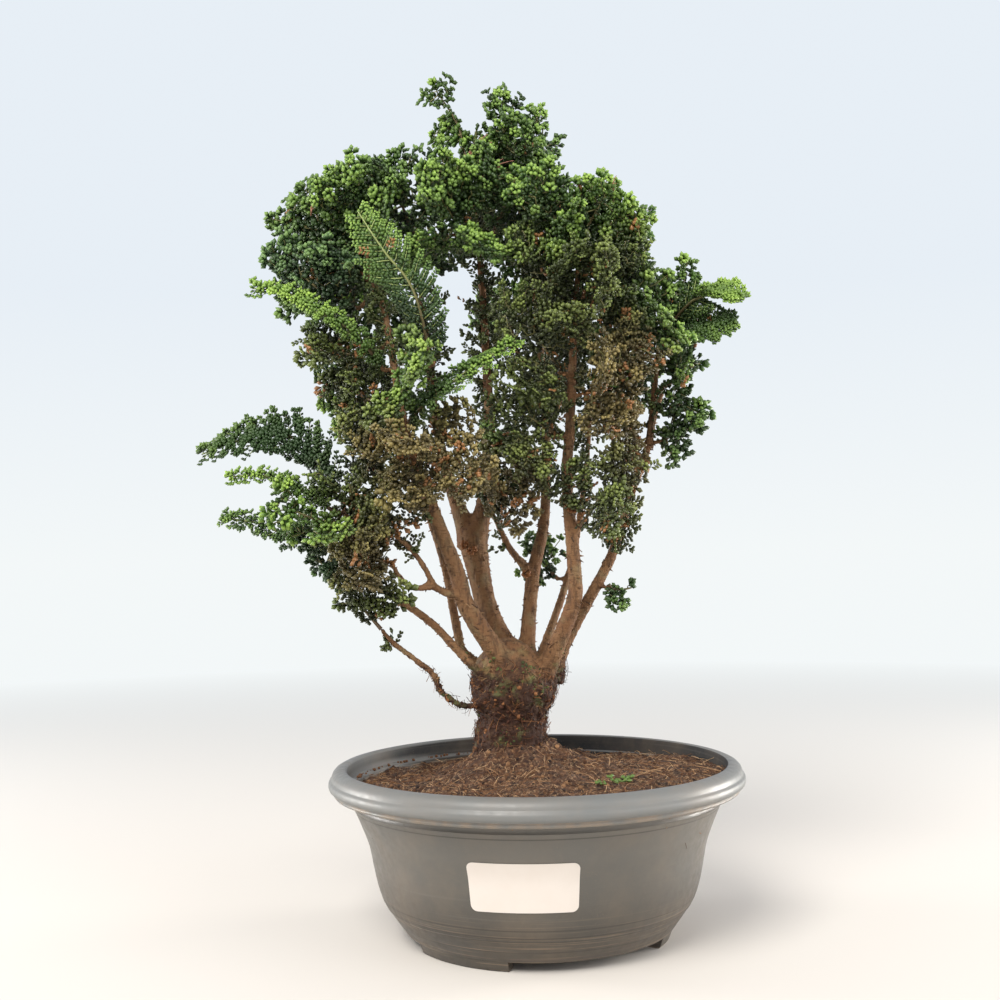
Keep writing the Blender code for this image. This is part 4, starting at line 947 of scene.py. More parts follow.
straw = small_finish("straw", (0.040, 0.014, 0.005, 1.0), (0.29, 0.135, 0.055, 1.0),
                     (0.72, 0.48, 0.26, 1.0))
peat_crumbs = small_finish("peat_crumbs", (0.010, 0.004, 0.002, 1.0), (0.10, 0.040, 0.015, 1.0),
                           (0.34, 0.18, 0.08, 1.0))
rootlets = small_finish("rootlets", (0.014, 0.004, 0.0015, 1.0), (0.095, 0.028, 0.008, 1.0),
                        (0.36, 0.150, 0.050, 1.0))
straw_kit = bpy.data.collections.new("straws")
for k in range(6):
    bend = (chances.uniform(-2.5, 2.5), chances.uniform(0.6, 2.4))
    small_thing(straw_kit, f"straw_{k}", *strand(8.0 + 2.0 * k, 0.52 + 0.08 * (k % 3), bend, joints=6))
scale_kit = bpy.data.collections.new("scales")
for k in range(5):
    length = 1.8 + 0.5 * k
    lift = chances.uniform(0.5, 1.1)
    half = length / 2
    verts = [(-half, -0.5, 0), (-half, 0.5, 0), (half, 0.28, lift), (half, -0.28, lift),
             (-half, 0, -0.5), (half, 0, lift - 0.35)]
    faces = [(0, 3, 2, 1), (0, 1, 4), (3, 5, 2), (0, 4, 5, 3), (1, 2, 5, 4)]
    small_thing(scale_kit, f"scale_{k}", verts, faces)

strewn("soil_fibres", soil, fibre_kit, straw, "soil_peat", density=72000.0, seed=3,
       lowest=72.0 * MM, smallest=0.5, largest=1.0, lean=0.35, sunk=-0.3 * MM)
strewn("soil_crumbs", soil, crumb_kit, peat_crumbs, "soil_peat", density=46000.0, seed=4,
       lowest=72.0 * MM, smallest=0.5, largest=1.15, lean=3.0, sunk=0.1 * MM)
strewn("trunk_fibres", wood, fibre_kit, rootlets, "soil_peat", density=150000.0, seed=6,
       lowest=96.0 * MM, highest=143.0 * MM, smallest=0.5, largest=1.0, lean=0.7, sunk=-0.2 * MM)
strewn("trunk_crumbs", wood, crumb_kit, rootlets, "soil_peat", density=90000.0, seed=8,
       lowest=96.0 * MM, highest=136.0 * MM, smallest=0.5, largest=1.2, lean=3.0, sunk=0.2 * MM)
strewn("trunk_rootlets", wood, straw_kit, rootlets, "soil_peat", density=48000.0, seed=18,
       lowest=96.0 * MM, highest=139.0 * MM, smallest=0.35, largest=0.75, lean=0.5, sunk=-0.4 * MM)
strewn("soil_straws", soil, straw_kit, straw, "soil_peat", density=6500.0, seed=12,
       lowest=72.0 * MM, smallest=0.5, largest=1.0, lean=0.3, sunk=-0.7 * MM)
snag_kit = bpy.data.collections.new("snags")
for k in range(4):
    reach = 1.6 + 0.45 * k
    verts = [(-0.8, -0.6, -0.5), (0.7, -0.6, -0.5), (0.0, 0.8, -0.5), (0.6 * reach, 0.1, 0.6 * reach)]
    small_thing(snag_kit, f"snag_{k}", verts, [(0, 2, 1), (0, 1, 3), (1, 2, 3), (2, 0, 3)])
bark_flakes = small_finish("bark_flakes", (0.055, 0.026, 0.012, 1.0), (0.17, 0.086, 0.036, 1.0),
                           (0.32, 0.18, 0.08, 1.0))
strewn("bark_scales", wood, scale_kit, bark_flakes, "bark", density=24000.0, seed=14,
       lowest=128.0 * MM, highest=300.0 * MM, patches=60.0, patch_edge=0.45, smallest=0.5, largest=1.2,
       lean=0.4, sunk=0.1 * MM)
strewn("bark_snags", wood, snag_kit, bark_flakes, "bark", density=36000.0, seed=15,
       lowest=118.0 * MM, highest=330.0 * MM, patches=70.0, patch_edge=0.47, smallest=0.5, largest=1.25,
       lean=0.3, sunk=0.0)
moss = small_finish("moss_tufts", (0.020, 0.028, 0.008, 1.0), (0.075, 0.095, 0.022, 1.0),
                    (0.16, 0.19, 0.05, 1.0))
strewn("moss", wood, crumb_kit, moss, "bark", density=240000.0, seed=16,
       lowest=100.0 * MM, highest=150.0 * MM, patches=70.0, patch_edge=0.60, smallest=0.3, largest=0.8,
       lean=3.0, sunk=0.1 * MM)

# Foliage: scale leaves pressed into short blunt lobes with bright young ends. A sprig is a
# tuft, a flat fan or a feather of such lobes, and grows on a thin stalk from the stem.
SPRIG_KIT = bpy.data.collections.new("sprigs")
LOBE_WIDEST = 0.66


def add_lobe(verts, faces, tips, start, ahead, flat, length, width, thickness, young):
    """Adds a plump lobe of eight faces, widest towards its blunt end."""
    ahead = ahead.normalized()
    across = ahead.cross(flat).normalized()
    up = across.cross(ahead)
    middle = start + ahead * (length * LOBE_WIDEST)
    base = len(verts)
    verts += [start, middle + across * (width / 2), middle + up * (thickness / 2),
              middle - across * (width / 2), middle - up * (thickness / 2), start + ahead * length]
    # The tip value rises towards the lobe's end and is higher on its upper side than its lower: painted
    # light on the lobe's top.
    tips += [0.0, young * 0.75, young * 0.85, young * 0.75, young * 0.45, young]
    for k in range(4):
        after = (k + 1) % 4
        faces.append((base, base + 1 + k, base + 1 + after))
        faces.append((base + 5, base + 1 + after, base + 1 + k))


def add_sprig(name, verts, faces, tips):
    mesh = mesh_of(name, [Vector(v) * MM for v in verts], faces)
    mesh.attributes.new("tip", "FLOAT", "POINT").data.foreach_set("value", tips)
    mesh.shade_smooth()
    SPRIG_KIT.objects.link(bpy.data.objects.new(name, mesh))


def tuft(name, lobes, spread_deg, length, width, draws):
    """A tuft: one lobe ahead and the others leaning away from it all round."""
    verts, faces, tips = [], [], []
    add_lobe(verts, faces, tips, Vector((0.0, 0.9, 0.0)), Vector((draws.uniform(-0.15, 0.15), 1.0, 0.1)),
             Vector((0.0, 0.0, 1.0)), length, width, width * 0.85, 1.0)
    for k in range(lobes - 1):
        turn = math.tau * (k + draws.uniform(-0.18, 0.18)) / (lobes - 1)
        lean = math.radians(spread_deg + draws.uniform(-9.0, 9.0))
        aside = math.sin(lean)
        ahead = Vector((aside * math.cos(turn), math.cos(lean), 0.85 * aside * math.sin(turn)))
        start = Vector((0.0, draws.uniform(0.0, 0.9), 0.0))
        add_lobe(verts, faces, tips, start, ahead, Vector((0.0, 1.0, 0.0)),
                 length * draws.uniform(0.85, 1.1), width * draws.uniform(0.88, 1.1), width * 0.8,
                 draws.uniform(0.8, 1.0))
    add_sprig(name, verts, faces, tips)


def fan(name, pairs, length, lobe, width, spread_deg, draws):
    """A fan: pairs of lobes left and right of a rib, and one at its end."""
    verts, faces, tips = [], [], []
    flat = Vector((0.0, 0.0, 1.0))
    for k in range(pairs):
        share = 0.06 + 0.56 * k / (pairs - 1)
        for side in (-1, 1):
            lean = side * math.radians(spread_deg * (1.0 - 0.25 * share) + draws.uniform(-8.0, 8.0))
            ahead = Vector((math.sin(lean), math.cos(lean), draws.uniform(-0.1, 0.35)))
            start = Vector((0.0, length * (share + side * 0.05), 0.0))
            add_lobe(verts, faces, tips, start, ahead, flat, lobe * draws.uniform(0.9, 1.1),
                     width * draws.uniform(0.9, 1.1), width * 0.7, 0.6 + 0.4 * share)
    ahead = Vector((draws.uniform(-0.1, 0.1), 1.0, 0.12))
    add_lobe(verts, faces, tips, Vector((0.0, length * 0.42, 0.0)), ahead, flat, length * 0.62, width,
             width * 0.7, 1.0)
    add_sprig(name, verts, faces, tips)


def feather(name, pairs, length, lobe, width, spread_deg, draws):
    """A feather: slender pairs of lobes close together along a rib, as on a fern's pinna."""
    verts, faces, tips = [], [], []
    flat = Vector((0.0, 0.0, 1.0))
    for k in range(pairs):
        share = 0.02 + 0.74 * k / (pairs - 1)
        for side in (-1, 1):
            lean = side * math.radians(spread_deg + draws.uniform(-4.0, 4.0))
            ahead = Vector((math.sin(lean), math.cos(lean), draws.uniform(-0.22, -0.05)))
            start = Vector((0.0, length * share, 0.0))
            add_lobe(verts, faces, tips, start, ahead, flat, lobe * (1.0 - 0.2 * share), width,
                     width * 0.75, 0.75 + 0.25 * share)
    add_lobe(verts, faces, tips, Vector((0.0, length * 0.62, 0.0)), Vector((0.0, 1.0, -0.1)), flat,
             length * 0.42, width, width * 0.75, 1.0)
    add_sprig(name, verts, faces, tips)


SPRIG_FORMS = [
    (tuft, 7, 50.0, 4.1, 2.7), (tuft, 7, 62.0, 3.7, 2.5), (tuft, 6, 40.0, 4.6, 2.8),
    (fan, 2, 7.8, 4.2, 3.0, 60.0), (fan, 2, 7.2, 3.4, 2.2, 52.0), (fan, 3, 6.4, 3.2, 1.9, 58.0),
    (feather, 3, 5.8, 3.3, 1.9, 46.0)]
for k, (form, *sizes) in enumerate(SPRIG_FORMS):
    form(f"sprig_{k}", *sizes, np.random.default_rng(k + 1))

stem_tree, stem_in, stem_out = new_tree("Leafy stem", [
    ("Sprigs", "Collection"), ("Finish", "Material")])


def named(tree, name, kind):
    return node_in(tree, "GeometryNodeInputNamedAttribute", {"Name": name}, data_type=kind).outputs[0]


sprigs = node_in(stem_tree, "GeometryNodeCollectionInfo", {
    "Collection": stem_in["Sprigs"], "Separate Children": True, "Reset Children": True}).outputs[0]
towards = node_in(stem_tree, "FunctionNodeAlignRotationToVector", {
    "Vector": named(stem_tree, "ahead", "FLOAT_VECTOR")}, axis="Y").outputs[0]
facing = node_in(stem_tree, "FunctionNodeAlignRotationToVector", {
    "Rotation": towards, "Vector": named(stem_tree, "face_up", "FLOAT_VECTOR")},
    axis="Z", pivot_axis="Y").outputs[0]
size = named(stem_tree, "size", "FLOAT")
placed = node_in(stem_tree, "GeometryNodeInstanceOnPoints", {
    "Points": stem_in["Geometry"], "Selection": more_than(stem_tree, size, 0.01),
    "Instance": sprigs, "Pick Instance": True,
    "Instance Index": named(stem_tree, "kind", "INT"), "Rotation": facing, "Scale": size}).outputs[0]
ring = node_in(stem_tree, "GeometryNodeCurvePrimitiveCircle", {"Resolution": 3, "Radius": MM}).outputs[0]
lines = node_in(stem_tree, "GeometryNodeMeshToCurve", {"Mesh": stem_in["Geometry"]}).outputs[0]
stalks = node_in(stem_tree, "GeometryNodeCurveToMesh", {
    "Curve": lines, "Profile Curve": ring, "Scale": named(stem_tree, "thick", "FLOAT")}).outputs[0]
stalks = node_in(stem_tree, "GeometryNodeStoreNamedAttribute", {
    "Geometry": stalks, "Name": "stalk", "Value": 1.0}, data_type="FLOAT", domain="POINT").outputs[0]
both = node_in(stem_tree, "GeometryNodeJoinGeometry")
stem_tree.links.new(placed, both.inputs[0])
stem_tree.links.new(stalks, both.inputs[0])
end_tree(stem_tree, both.outputs[0], stem_in["Finish"], stem_out)

# A sprig runs from its root to its young ends. Its colour holds painted shade, darker at its root and
# where others keep the light off it, and painted light on its open ends
leaf_tone, tone_in, tone_out = new_group(
    "Leaf tone",
    [("Depth", "Float", 0.3), ("Youth", "Float", 1.0), ("Mottle", "Float", 0.25)],
    [("Color", "Color"), ("Relief", "Float")])
STALK_BROWN = (0.105, 0.055, 0.030, 1.0)
STALK_GREEN = (0.26, 0.33, 0.10, 1.0)
LEAF_DRY = (0.27, 0.120, 0.040, 1.0)
LEAF_SHADOW = (0.008, 0.013, 0.002, 1.0)


place = object_place(leaf_tone)
tip = attribute(leaf_tone, "tip")
look = node_in(leaf_tone, "ShaderNodeSeparateXYZ", {0: attribute(leaf_tone, "look", "Vector")}).outputs
painted_light, fresh, dry = look["X"], look["Y"], look["Z"]
patch = noise(leaf_tone, place, 45.0, 3.0)
grain = noise(leaf_tone, place, 1500.0, 2.0)
# Painted light and shade: the body colour is lighter towards the lobes' ends and where a sprig has more
# painted light.
painted_light_share = maths(leaf_tone, "MULTIPLY", tip, 0.42)
painted_light_share = maths(leaf_tone, "ADD", painted_light_share, maths(leaf_tone, "MULTIPLY", painted_light, 0.9))
strength = ranged(leaf_tone, painted_light_share, 0.06, 0.88, tone_in["Depth"], 1.0)
colour = scaled(leaf_tone, attribute(leaf_tone, "body", "Vector"), strength)
# The young colour shows more where there is more painted light, so the bright ends are partly a painted
# highlight.
youth = maths(leaf_tone, "MULTIPLY", ranged(leaf_tone, tip, 0.35, 1.0),
              ranged(leaf_tone, maths(leaf_tone, "ADD", painted_light, patch), 0.55, 1.15))
youth = maths(leaf_tone, "MULTIPLY", maths(leaf_tone, "MULTIPLY", youth, fresh), tone_in["Youth"])
colour = mixed(leaf_tone, youth, colour, attribute(leaf_tone, "young", "Vector"))
# Painted shade: fine flecks of dark shadow colour over the leaves.
shadow_flecks = ranged(leaf_tone, grain, 0.38, 0.62, 0.0, tone_in["Mottle"])
colour = mixed(leaf_tone, shadow_flecks, colour, LEAF_SHADOW)
colour = mixed(leaf_tone, maths(leaf_tone, "MULTIPLY", dry, ranged(leaf_tone, tip, 0.0, 0.6, 0.5, 0.95)),
               colour, LEAF_DRY)
stalk_colour = mixed(leaf_tone, attribute(leaf_tone, "sap"), STALK_BROWN, STALK_GREEN)
colour = mixed(leaf_tone, attribute(leaf_tone, "stalk"), colour, stalk_colour)
leaf_tone.links.new(colour, tone_out.inputs["Color"])
leaf_tone.links.new(grain, tone_out.inputs["Relief"])

# Tones: the colours of a sprig's body and of its young ends, and the share of dry sprigs. The bright and
# dark tones are the green made lighter and darker, in part painted light for stems out in the light and
# painted shade for stems deep, behind or low in the crown
LEAF_TONES = {
    "bright": ((0.076, 0.164, 0.020), (0.430, 0.630, 0.100), 0.004),
    "green": ((0.052, 0.120, 0.019), (0.340, 0.520, 0.090), 0.005),
    "dark": ((0.034, 0.080, 0.017), (0.220, 0.360, 0.070), 0.005),
    "blue": ((0.038, 0.088, 0.030), (0.200, 0.330, 0.095), 0.005),
    "olive": ((0.056, 0.073, 0.016), (0.225, 0.285, 0.058), 0.010),
    "brown": ((0.150, 0.113, 0.037), (0.350, 0.275, 0.090), 0.050),
}
# The share of its body colour that each tone keeps in the deepest painted shade.
PAINTED_SHADE_DEPTH = {"bright": 0.24, "green": 0.22, "dark": 0.22, "blue": 0.22, "olive": 0.26, "brown": 0.26}
leaf_finishes = {}
for tone, depth in PAINTED_SHADE_DEPTH.items():
    material, tree, shader = finish_of("leaf_" + tone, 0.46)
    group = node_in(tree, "ShaderNodeGroup", {"Depth": depth}, node_tree=leaf_tone)
    tree.links.new(group.outputs["Color"], shader.inputs["Base Color"])
    bump(tree, shader, group.outputs["Relief"], 0.3, 0.15)
    leaf_finishes[tone] = material

# Two layers stand on a branch's blades: a flat one that fills them, its colour darkened as painted shade,
# and above it the tufts or fans, painted lighter as if they catch the light. Gaps are between sprigs on
# the outer and inner faces.
FIRST_FAN = 3
GREEN_LAYERS = (
    {"kinds": (3, 3, 4), "gaps": (3.7, 4.5), "tilt": (3.0, 30.0), "sunk": 3.8, "raised": 0.5,
     "lit": 0.55},
    {"kinds": (0, 1, 1, 2), "gaps": (4.7, 6.8), "tilt": (35.0, 85.0), "sunk": 1.6, "raised": 5.5,
     "lit": 1.0})
SAGE_LAYERS = (
    {"kinds": (3, 4, 5), "gaps": (3.8, 4.6), "tilt": (3.0, 34.0), "sunk": 3.6, "raised": 0.8,
     "lit": 0.6},
    {"kinds": (6, 5, 6, 1), "gaps": (4.3, 6.4), "tilt": (28.0, 75.0), "sunk": 2.2, "raised": 5.0,
     "lit": 1.0})
FORWARD_SHARE = 0.35
CLUMP_SIZE = 9.0
CLUMP_GAP = -0.24
CLUMP_SWELL = 0.3
CLUMP_LIFT = 1.4
CLUMP_LIGHT = 1.9
SPRIG_SIZES = (0.85, 1.18)
JOINT_MARGIN = 0.6
FAR = 1e6
TUFT_MIDDLE = 2.4
LINE_STEPS = 10
CROWN_MIDDLE = np.array(at(-20.0, 8.0, 300.0)) / MM
LIGHT_FROM = np.array((-0.15, -0.45, 0.88))
SHADE_REACH = 22.0
SHADE_FADE = 6.5
TONE_REACH = 9.0
TONE_CHANGE = 1.2
YOUNG_REACH = 14.0
# Edges of the crown that these stems' sprigs stay inside of, seen from the front: a place on
# each, right and up, and the way out across it
CROWN_EDGES = [
    (("left_mass", "low_hanging"), (-106.0, 187.0), (-0.82, -0.57)),
    (("upper_left",), (-85.0, 415.5), (-0.25, 0.97)),
    (("upper_left_inner",), (-60.0, 421.0), (0.0, 1.0)),
    (("right_crown_top", "right_crown_side", "bright_top", "back_right_upper"), (53.5, 393.0),
     (0.55, 0.83)),
    (("right_crown_top", "right_crown_side", "sleeve_right_top", "back_right_upper"), (64.0, 360.0),
     (1.0, 0.0)),
    (("top_right",), (11.0, 420.0), (1.0, 0.0)),
    (("left_outer",), (-134.0, 360.0), (-1.0, 0.0)),
    (("left_low",), (-126.0, 342.0), (-0.76, -0.65)),
    (("left_olive_upper",), (-115.0, 310.0), (-1.0, 0.0)),
    (("left_olive_upper", "left_olive_lower", "left_olive_bottom", "back_left_low"), (-100.0, 272.0),
     (-0.93, -0.37)),
    (("left_olive_bottom", "hanging_left", "back_left_low"), (-77.0, 244.0), (-0.55, -0.83)),
    (("right_low", "right_lower"), (91.0, 280.0), (1.0, 0.0)),
    (("right_low", "right_lower"), (80.0, 252.0), (0.66, -0.75)),
    (("low_sprig",), (48.0, 180.0), (1.0, 0.0)),
]
EDGE_RAGGED = 9.0
CAMERA_PLACE = (-16.33, -693.9, 200.05)
EYE = np.array(at(*CAMERA_PLACE)) / MM
SMALL_CLUMP = "centre_bright"
SMALL_CLUMP_EDGE = 14.0
SMALL_CLUMP_BLEND = 5.0


def unit(vectors):
    return vectors / np.maximum(np.linalg.norm(vectors, axis=-1, keepdims=True), 1e-9)


def faces_of(node):
    """The corners of a node's triangles, in millimetres in the frame."""
    mesh = frame["nodes"][node].data
    points = np.zeros(len(mesh.vertices) * 3, np.float32)
    mesh.vertices.foreach_get("co", points)
    mesh.calc_loop_triangles()
    corners = np.zeros(len(mesh.loop_triangles) * 3, np.int32)
    mesh.loop_triangles.foreach_get("vertices", corners)
    return points.reshape(-1, 3)[corners].reshape(-1, 3, 3) / MM


def scattered(corners, gaps, draws):
    """Places on triangles that keep apart from their like-facing neighbours, and normals."""
    cross = np.cross(corners[:, 1] - corners[:, 0], corners[:, 2] - corners[:, 0])
    area = np.linalg.norm(cross, axis=1) / 2
    tries = int(area.sum() / gaps[0] ** 2 * 3)
    picked = draws.choice(len(area), size=tries, p=area / area.sum())
    a, b = np.sort(draws.random((2, tries)), axis=0)
    shares = np.stack((a, b - a, 1 - b), axis=1)
    points = np.einsum("ij,ijk->ik", shares, corners[picked])
    normals = unit(cross[picked])
    outwards = np.sum(normals * unit(points - CROWN_MIDDLE), axis=1)
    apart = np.where(outwards > -0.1, gaps[0], gaps[1])
    kept = []
    for k in range(tries):
        near = np.linalg.norm(points[kept] - points[k], axis=1) < apart[k]
        if not np.any(near & (normals[kept] @ normals[k] > 0.0)):
            kept.append(k)
    return points[kept], normals[kept]


def clumping(points):
    """From about -0.6 to 0.6: where sprigs stand together in clumps, and where apart."""
    return np.array([noise_at(Vector(point) / CLUMP_SIZE) for point in points])


def past_edges(name, points):
    """How far places lie past the crown's edges for this stem, seen from the front."""
    furthest = np.full(len(points), -FAR)
    for stems, (right, up), (right_out, up_out) in CROWN_EDGES:
        if name in stems:
            edge = np.array(at(right, 0.0, up)) / MM
            ray = edge - EYE
            outward = np.array((right_out, -(right_out * ray[0] + up_out * ray[2]) / ray[1], up_out))
            furthest = np.maximum(furthest, (points - edge) @ outward)
    return furthest


def branch_sprigs(name, corners, line, along, layers, draws):
    """The sprigs on a branch's blades, each on a stalk from the nearest place further in."""
    made = []
    for layer in layers:
        points, normals = scattered(corners, layer["gaps"], draws)
        count = len(points)
        nearest = np.argmin(np.linalg.norm(points[:, None] - line[None], axis=2), axis=1)
        out = points - line[nearest]
        ahead = unit(out) + along[nearest] * FORWARD_SHARE
        ahead -= normals * np.sum(ahead * normals, axis=1, keepdims=True)
        ahead = unit(unit(ahead) + draws.normal(0.0, 0.25, ahead.shape))
        ahead = unit(ahead - normals * np.sum(ahead * normals, axis=1, keepdims=True))
        tilt = np.radians(draws.uniform(*layer["tilt"], count))[:, None]
        pointing = ahead * np.cos(tilt) + normals * np.sin(tilt)
        face_up = unit(normals * np.cos(tilt) - ahead * np.sin(tilt) + draws.normal(0.0, 0.2, ahead.shape))
        clump = clumping(points)
        size = draws.uniform(*SPRIG_SIZES, count) * (1.0 + CLUMP_SWELL * clump)
        lift = np.clip(0.5 + CLUMP_LIFT * clump + draws.normal(0.0, 0.12, count), 0.0, 1.0)
        lift = lift * layer["raised"] - layer["sunk"] * size
        # Painted light: sprigs on a clump's top are given more of it, those in its gaps less.
        lit = np.clip(0.85 + CLUMP_LIGHT * clump + draws.normal(0.0, 0.10, count), 0.18, 1.8)
        kept = clump > (CLUMP_GAP if layer["raised"] > 2.0 else -1.0)
        kept &= past_edges(name, points) < EDGE_RAGGED * clump
        made.append([part[kept] for part in (
            points + pointing * lift[:, None], pointing, face_up, size,
            draws.choice(layer["kinds"], count), np.linalg.norm(out, axis=1), layer["lit"] * lit)])
    roots, pointing, face_up, size, kinds, reach, lit = (np.concatenate(part) for part in zip(*made))
    levels = np.concatenate((np.full(len(line), -1.0), reach))
    places = np.concatenate((line, roots))
    joints = []
    for k, root in enumerate(roots):
        far = np.linalg.norm(places - root, axis=1)
        far[levels >= reach[k] - JOINT_MARGIN] = FAR
        joints.append(np.argmin(far))
    return roots, pointing, face_up, size, kinds, joints, np.clip(reach / YOUNG_REACH, 0.0, 1.0), lit


# A frond's pinnae: the reach and the gap between them, the kinds and the size of their
# sprigs, how much painted light their colour gets, and the tone at the frond's base
FRONDS = {
    "fern_frond": (18.5, 5.4, (6,), 1.14, 1.0, "blue"),
    "long_frond": (9.0, 3.4, (4, 1, 2), 1.0, 1.1, "bright"),
    "centre_frond": (14.0, 4.2, (6, 6, 1), 1.0, 0.80, "green"),
    "arm_upper": (18.0, 3.8, (4, 1, 2, 0), 1.0, 0.35, "blue"),
    "arm_middle": (7.0, 3.2, (4, 1), 0.85, 0.9, "green"),
    "arm_lower": (11.0, 3.8, (4, 1, 5), 1.0, 0.6, "blue"),
    "right_arm_upper": (19.0, 3.4, (2, 0, 1), 1.0, 0.85, "green"),
    "right_arm_lower": (18.0, 3.4, (0, 1, 2), 1.0, 0.75, "green"),
}
PINNA_SWEEP = 0.72
PINNA_STEP = 2.9
SPRIG_OVERHANG = 3.6
PINNA_LEAST = 0.30
PINNA_SWELL = 0.74
PINNA_REACH = 1.12
FROND_BREADTH = 14.0


def pinna_reach(reach_most, share):
    """How far a pinna reaches at a share of the frond's length: least at its tip."""
    swell = PINNA_LEAST + PINNA_SWELL * math.sin(math.pi * (0.2 + 0.76 * share))
    return reach_most * swell * PINNA_REACH


def in_columns(rows):
    """Sprigs given as one row each, as one array for each of their values."""
    return [np.array(column) for column in zip(*rows)]


def frond_sprigs(corners, line, along, reach_most, gap, kinds_of_frond, scale, caught, draws):
    """Sprigs in rows on the pinnae of a frond, which stand left and right along its rib."""
    cross = np.cross(corners[:, 1] - corners[:, 0], corners[:, 2] - corners[:, 0])
    centres = corners.mean(axis=1)
    normals = unit(cross)
    spans = np.linalg.norm(np.diff(line, axis=0), axis=1)
    gone = np.concatenate(((0.0,), np.cumsum(spans)))
    rows = []
    stop = gap / 2
    side = 1.0
    while stop < gone[-1] - 0.5:
        k = int(np.searchsorted(gone, stop))
        share = stop / gone[-1]
        outward = unit(line[k] - CROWN_MIDDLE) + np.array((0.0, -0.5, 0.4))
        near = np.linalg.norm(centres - line[k], axis=1) < FROND_BREADTH
        facing_out = normals[near] * np.sign(normals[near] @ outward)[:, None]
        up = facing_out.mean(axis=0)
        up = unit(up - along[k] * (up @ along[k]))
        out = np.cross(along[k], up) * side
        length = max(2.5, pinna_reach(reach_most, share) * draws.uniform(0.85, 1.1) - SPRIG_OVERHANG)
        steps = max(2, round(length / (PINNA_STEP * scale)))
        stretch = length / steps
        place = line[k] + along[k] * draws.uniform(-0.5, 0.5)
        joint = k
        for step in range(steps):
            bend = (step + 0.5) / steps
            swept = along[k] * (PINNA_SWEEP * (0.7 + 0.8 * bend))
            droop = up * (0.12 - 0.5 * bend ** 2)
            ahead = unit(out + swept + droop + draws.normal(0.0, 0.06, 3))
            kind = int(draws.choice(kinds_of_frond))
            raised = 1.0 if kind < FIRST_FAN else 0.0
            # The last value is painted light: less at the frond's base, more towards its pinnae's ends.
            rows.append((
                place + up * (raised + draws.uniform(-1.0, 0.1)),
                unit(ahead + up * (1.2 * raised)),
                unit(up - ahead * raised + draws.normal(0.0, 0.14, 3)),
                scale * (1.02 - 0.36 * bend) * draws.uniform(0.92, 1.08),
                kind,
                joint,
                min(1.0, 0.2 + 0.8 * bend * (0.35 + share)),
                caught * (0.25 + 0.75 * share) * (0.55 + 0.6 * bend) * draws.uniform(0.8, 1.25)))
            joint = len(line) + len(rows) - 1
            place = place + ahead * stretch
        side = -side
        stop += gap / 2
    return in_columns(rows)


# Short shoots that grow straight out of a limb and sleeve it: the heights where they start
# and are thickest, and the longest of them
SHOOTS = {
    "front_left": (262.0, 300.0, 13.0), "leader_left": (236.0, 290.0, 15.0),
    "leader_right": (240.0, 300.0, 15.0), "centre": (232.0, 290.0, 15.0),
    "right": (246.0, 320.0, 8.0), "far_right": (236.0, 300.0, 8.0),
    "back_left": (225.0, 270.0, 14.0), "behind": (215.0, 250.0, 14.0),
    "second_left": (186.0, 215.0, 9.0), "centre_fork": (200.0, 215.0, 9.0),
    "back_right": (275.0, 300.0, 12.0), "back_centre": (300.0, 310.0, 12.0),
    "low_left": (150.0, 160.0, 6.0), "front_left_fork": (190.0, 205.0, 7.0),
}
SHOOT_GAP = 1.6
SHOOT_STEP = 3.6
SHOOT_KINDS = (3, 4, 6, 6, 1)


def limb_shoots(line, along, start, thickest, longest, draws):
    """Sprigs in rows along short shoots all round a limb."""
    rows = []
    for k, place in enumerate(line):
        height = place[2]
        if draws.random() > np.clip((height - start) / (thickest - start), 0.0, 1.0):
            continue
        out = unit(np.cross(along[k], draws.normal(0.0, 1.0, 3)))
        ahead = unit(out + along[k] * draws.uniform(0.1, 0.9))
        length = draws.uniform(0.35, 1.0) * longest
        steps = max(1, round(length / SHOOT_STEP))
        spot = place + ahead * 1.5
        joint = k
        for step in range(steps):
            turned_out = unit(ahead + draws.normal(0.0, 0.30, 3))
            # The last value is painted light, kept low for shoots close in on a limb.
            rows.append((
                spot,
                turned_out,
                unit(np.cross(turned_out, draws.normal(0.0, 1.0, 3))),
                draws.uniform(0.8, 1.1),
                int(draws.choice(SHOOT_KINDS)),
                joint,
                0.3 * step / steps,
                draws.uniform(0.45, 0.95)))
            joint = len(line) + len(rows) - 1
            spot = spot + unit(ahead + draws.normal(0.0, 0.12, 3)) * SHOOT_STEP
    return in_columns(rows)


# One grown stem: the line of its rib, and for each sprig its root, where it points, its upper
# side, size, kind, the point its stalk comes from, how young it is and how much painted light its colour
# gets
Grown = namedtuple(
    "Grown", "name tone growth line draws roots pointing face_up size kinds joints youth lit")
grown = []
for order, (name, limb, tone, route) in enumerate(STEMS):
    draws = np.random.default_rng(100 + order)
    growth = "frond" if name in FRONDS else "branch"
    line = np.array([at(*p) / MM for p in round_curve(route, LINE_STEPS)])
    along = unit(np.gradient(line, axis=0))
    corners = faces_of("spray_" + name)
    if growth == "frond":
        sprigs = frond_sprigs(corners, line, along, *FRONDS[name][:5], draws)
    else:
        layers = SAGE_LAYERS if tone in ("olive", "brown") else GREEN_LAYERS
        sprigs = branch_sprigs(name, corners, line, along, layers, draws)
    grown.append(Grown("foliage_" + name, tone, growth, line, draws, *sprigs))
for order, (limb, (start, thickest, longest)) in enumerate(SHOOTS.items()):
    draws = np.random.default_rng(300 + order)
    points = np.array([at(*p[:3]) / MM for p in round_curve(LIMBS[limb], LINE_STEPS)])
    gone = np.concatenate(((0.0,), np.cumsum(np.linalg.norm(np.diff(points, axis=0), axis=1))))
    stops = np.arange(0.0, gone[-1], SHOOT_GAP)
    line = np.stack([np.interp(stops, gone, points[:, axis]) for axis in range(3)], axis=1)
    sprigs = limb_shoots(line, unit(np.gradient(line, axis=0)), start, thickest, longest, draws)
    grown.append(Grown("shoots_" + limb, "olive", "shoots", line, draws, *sprigs))
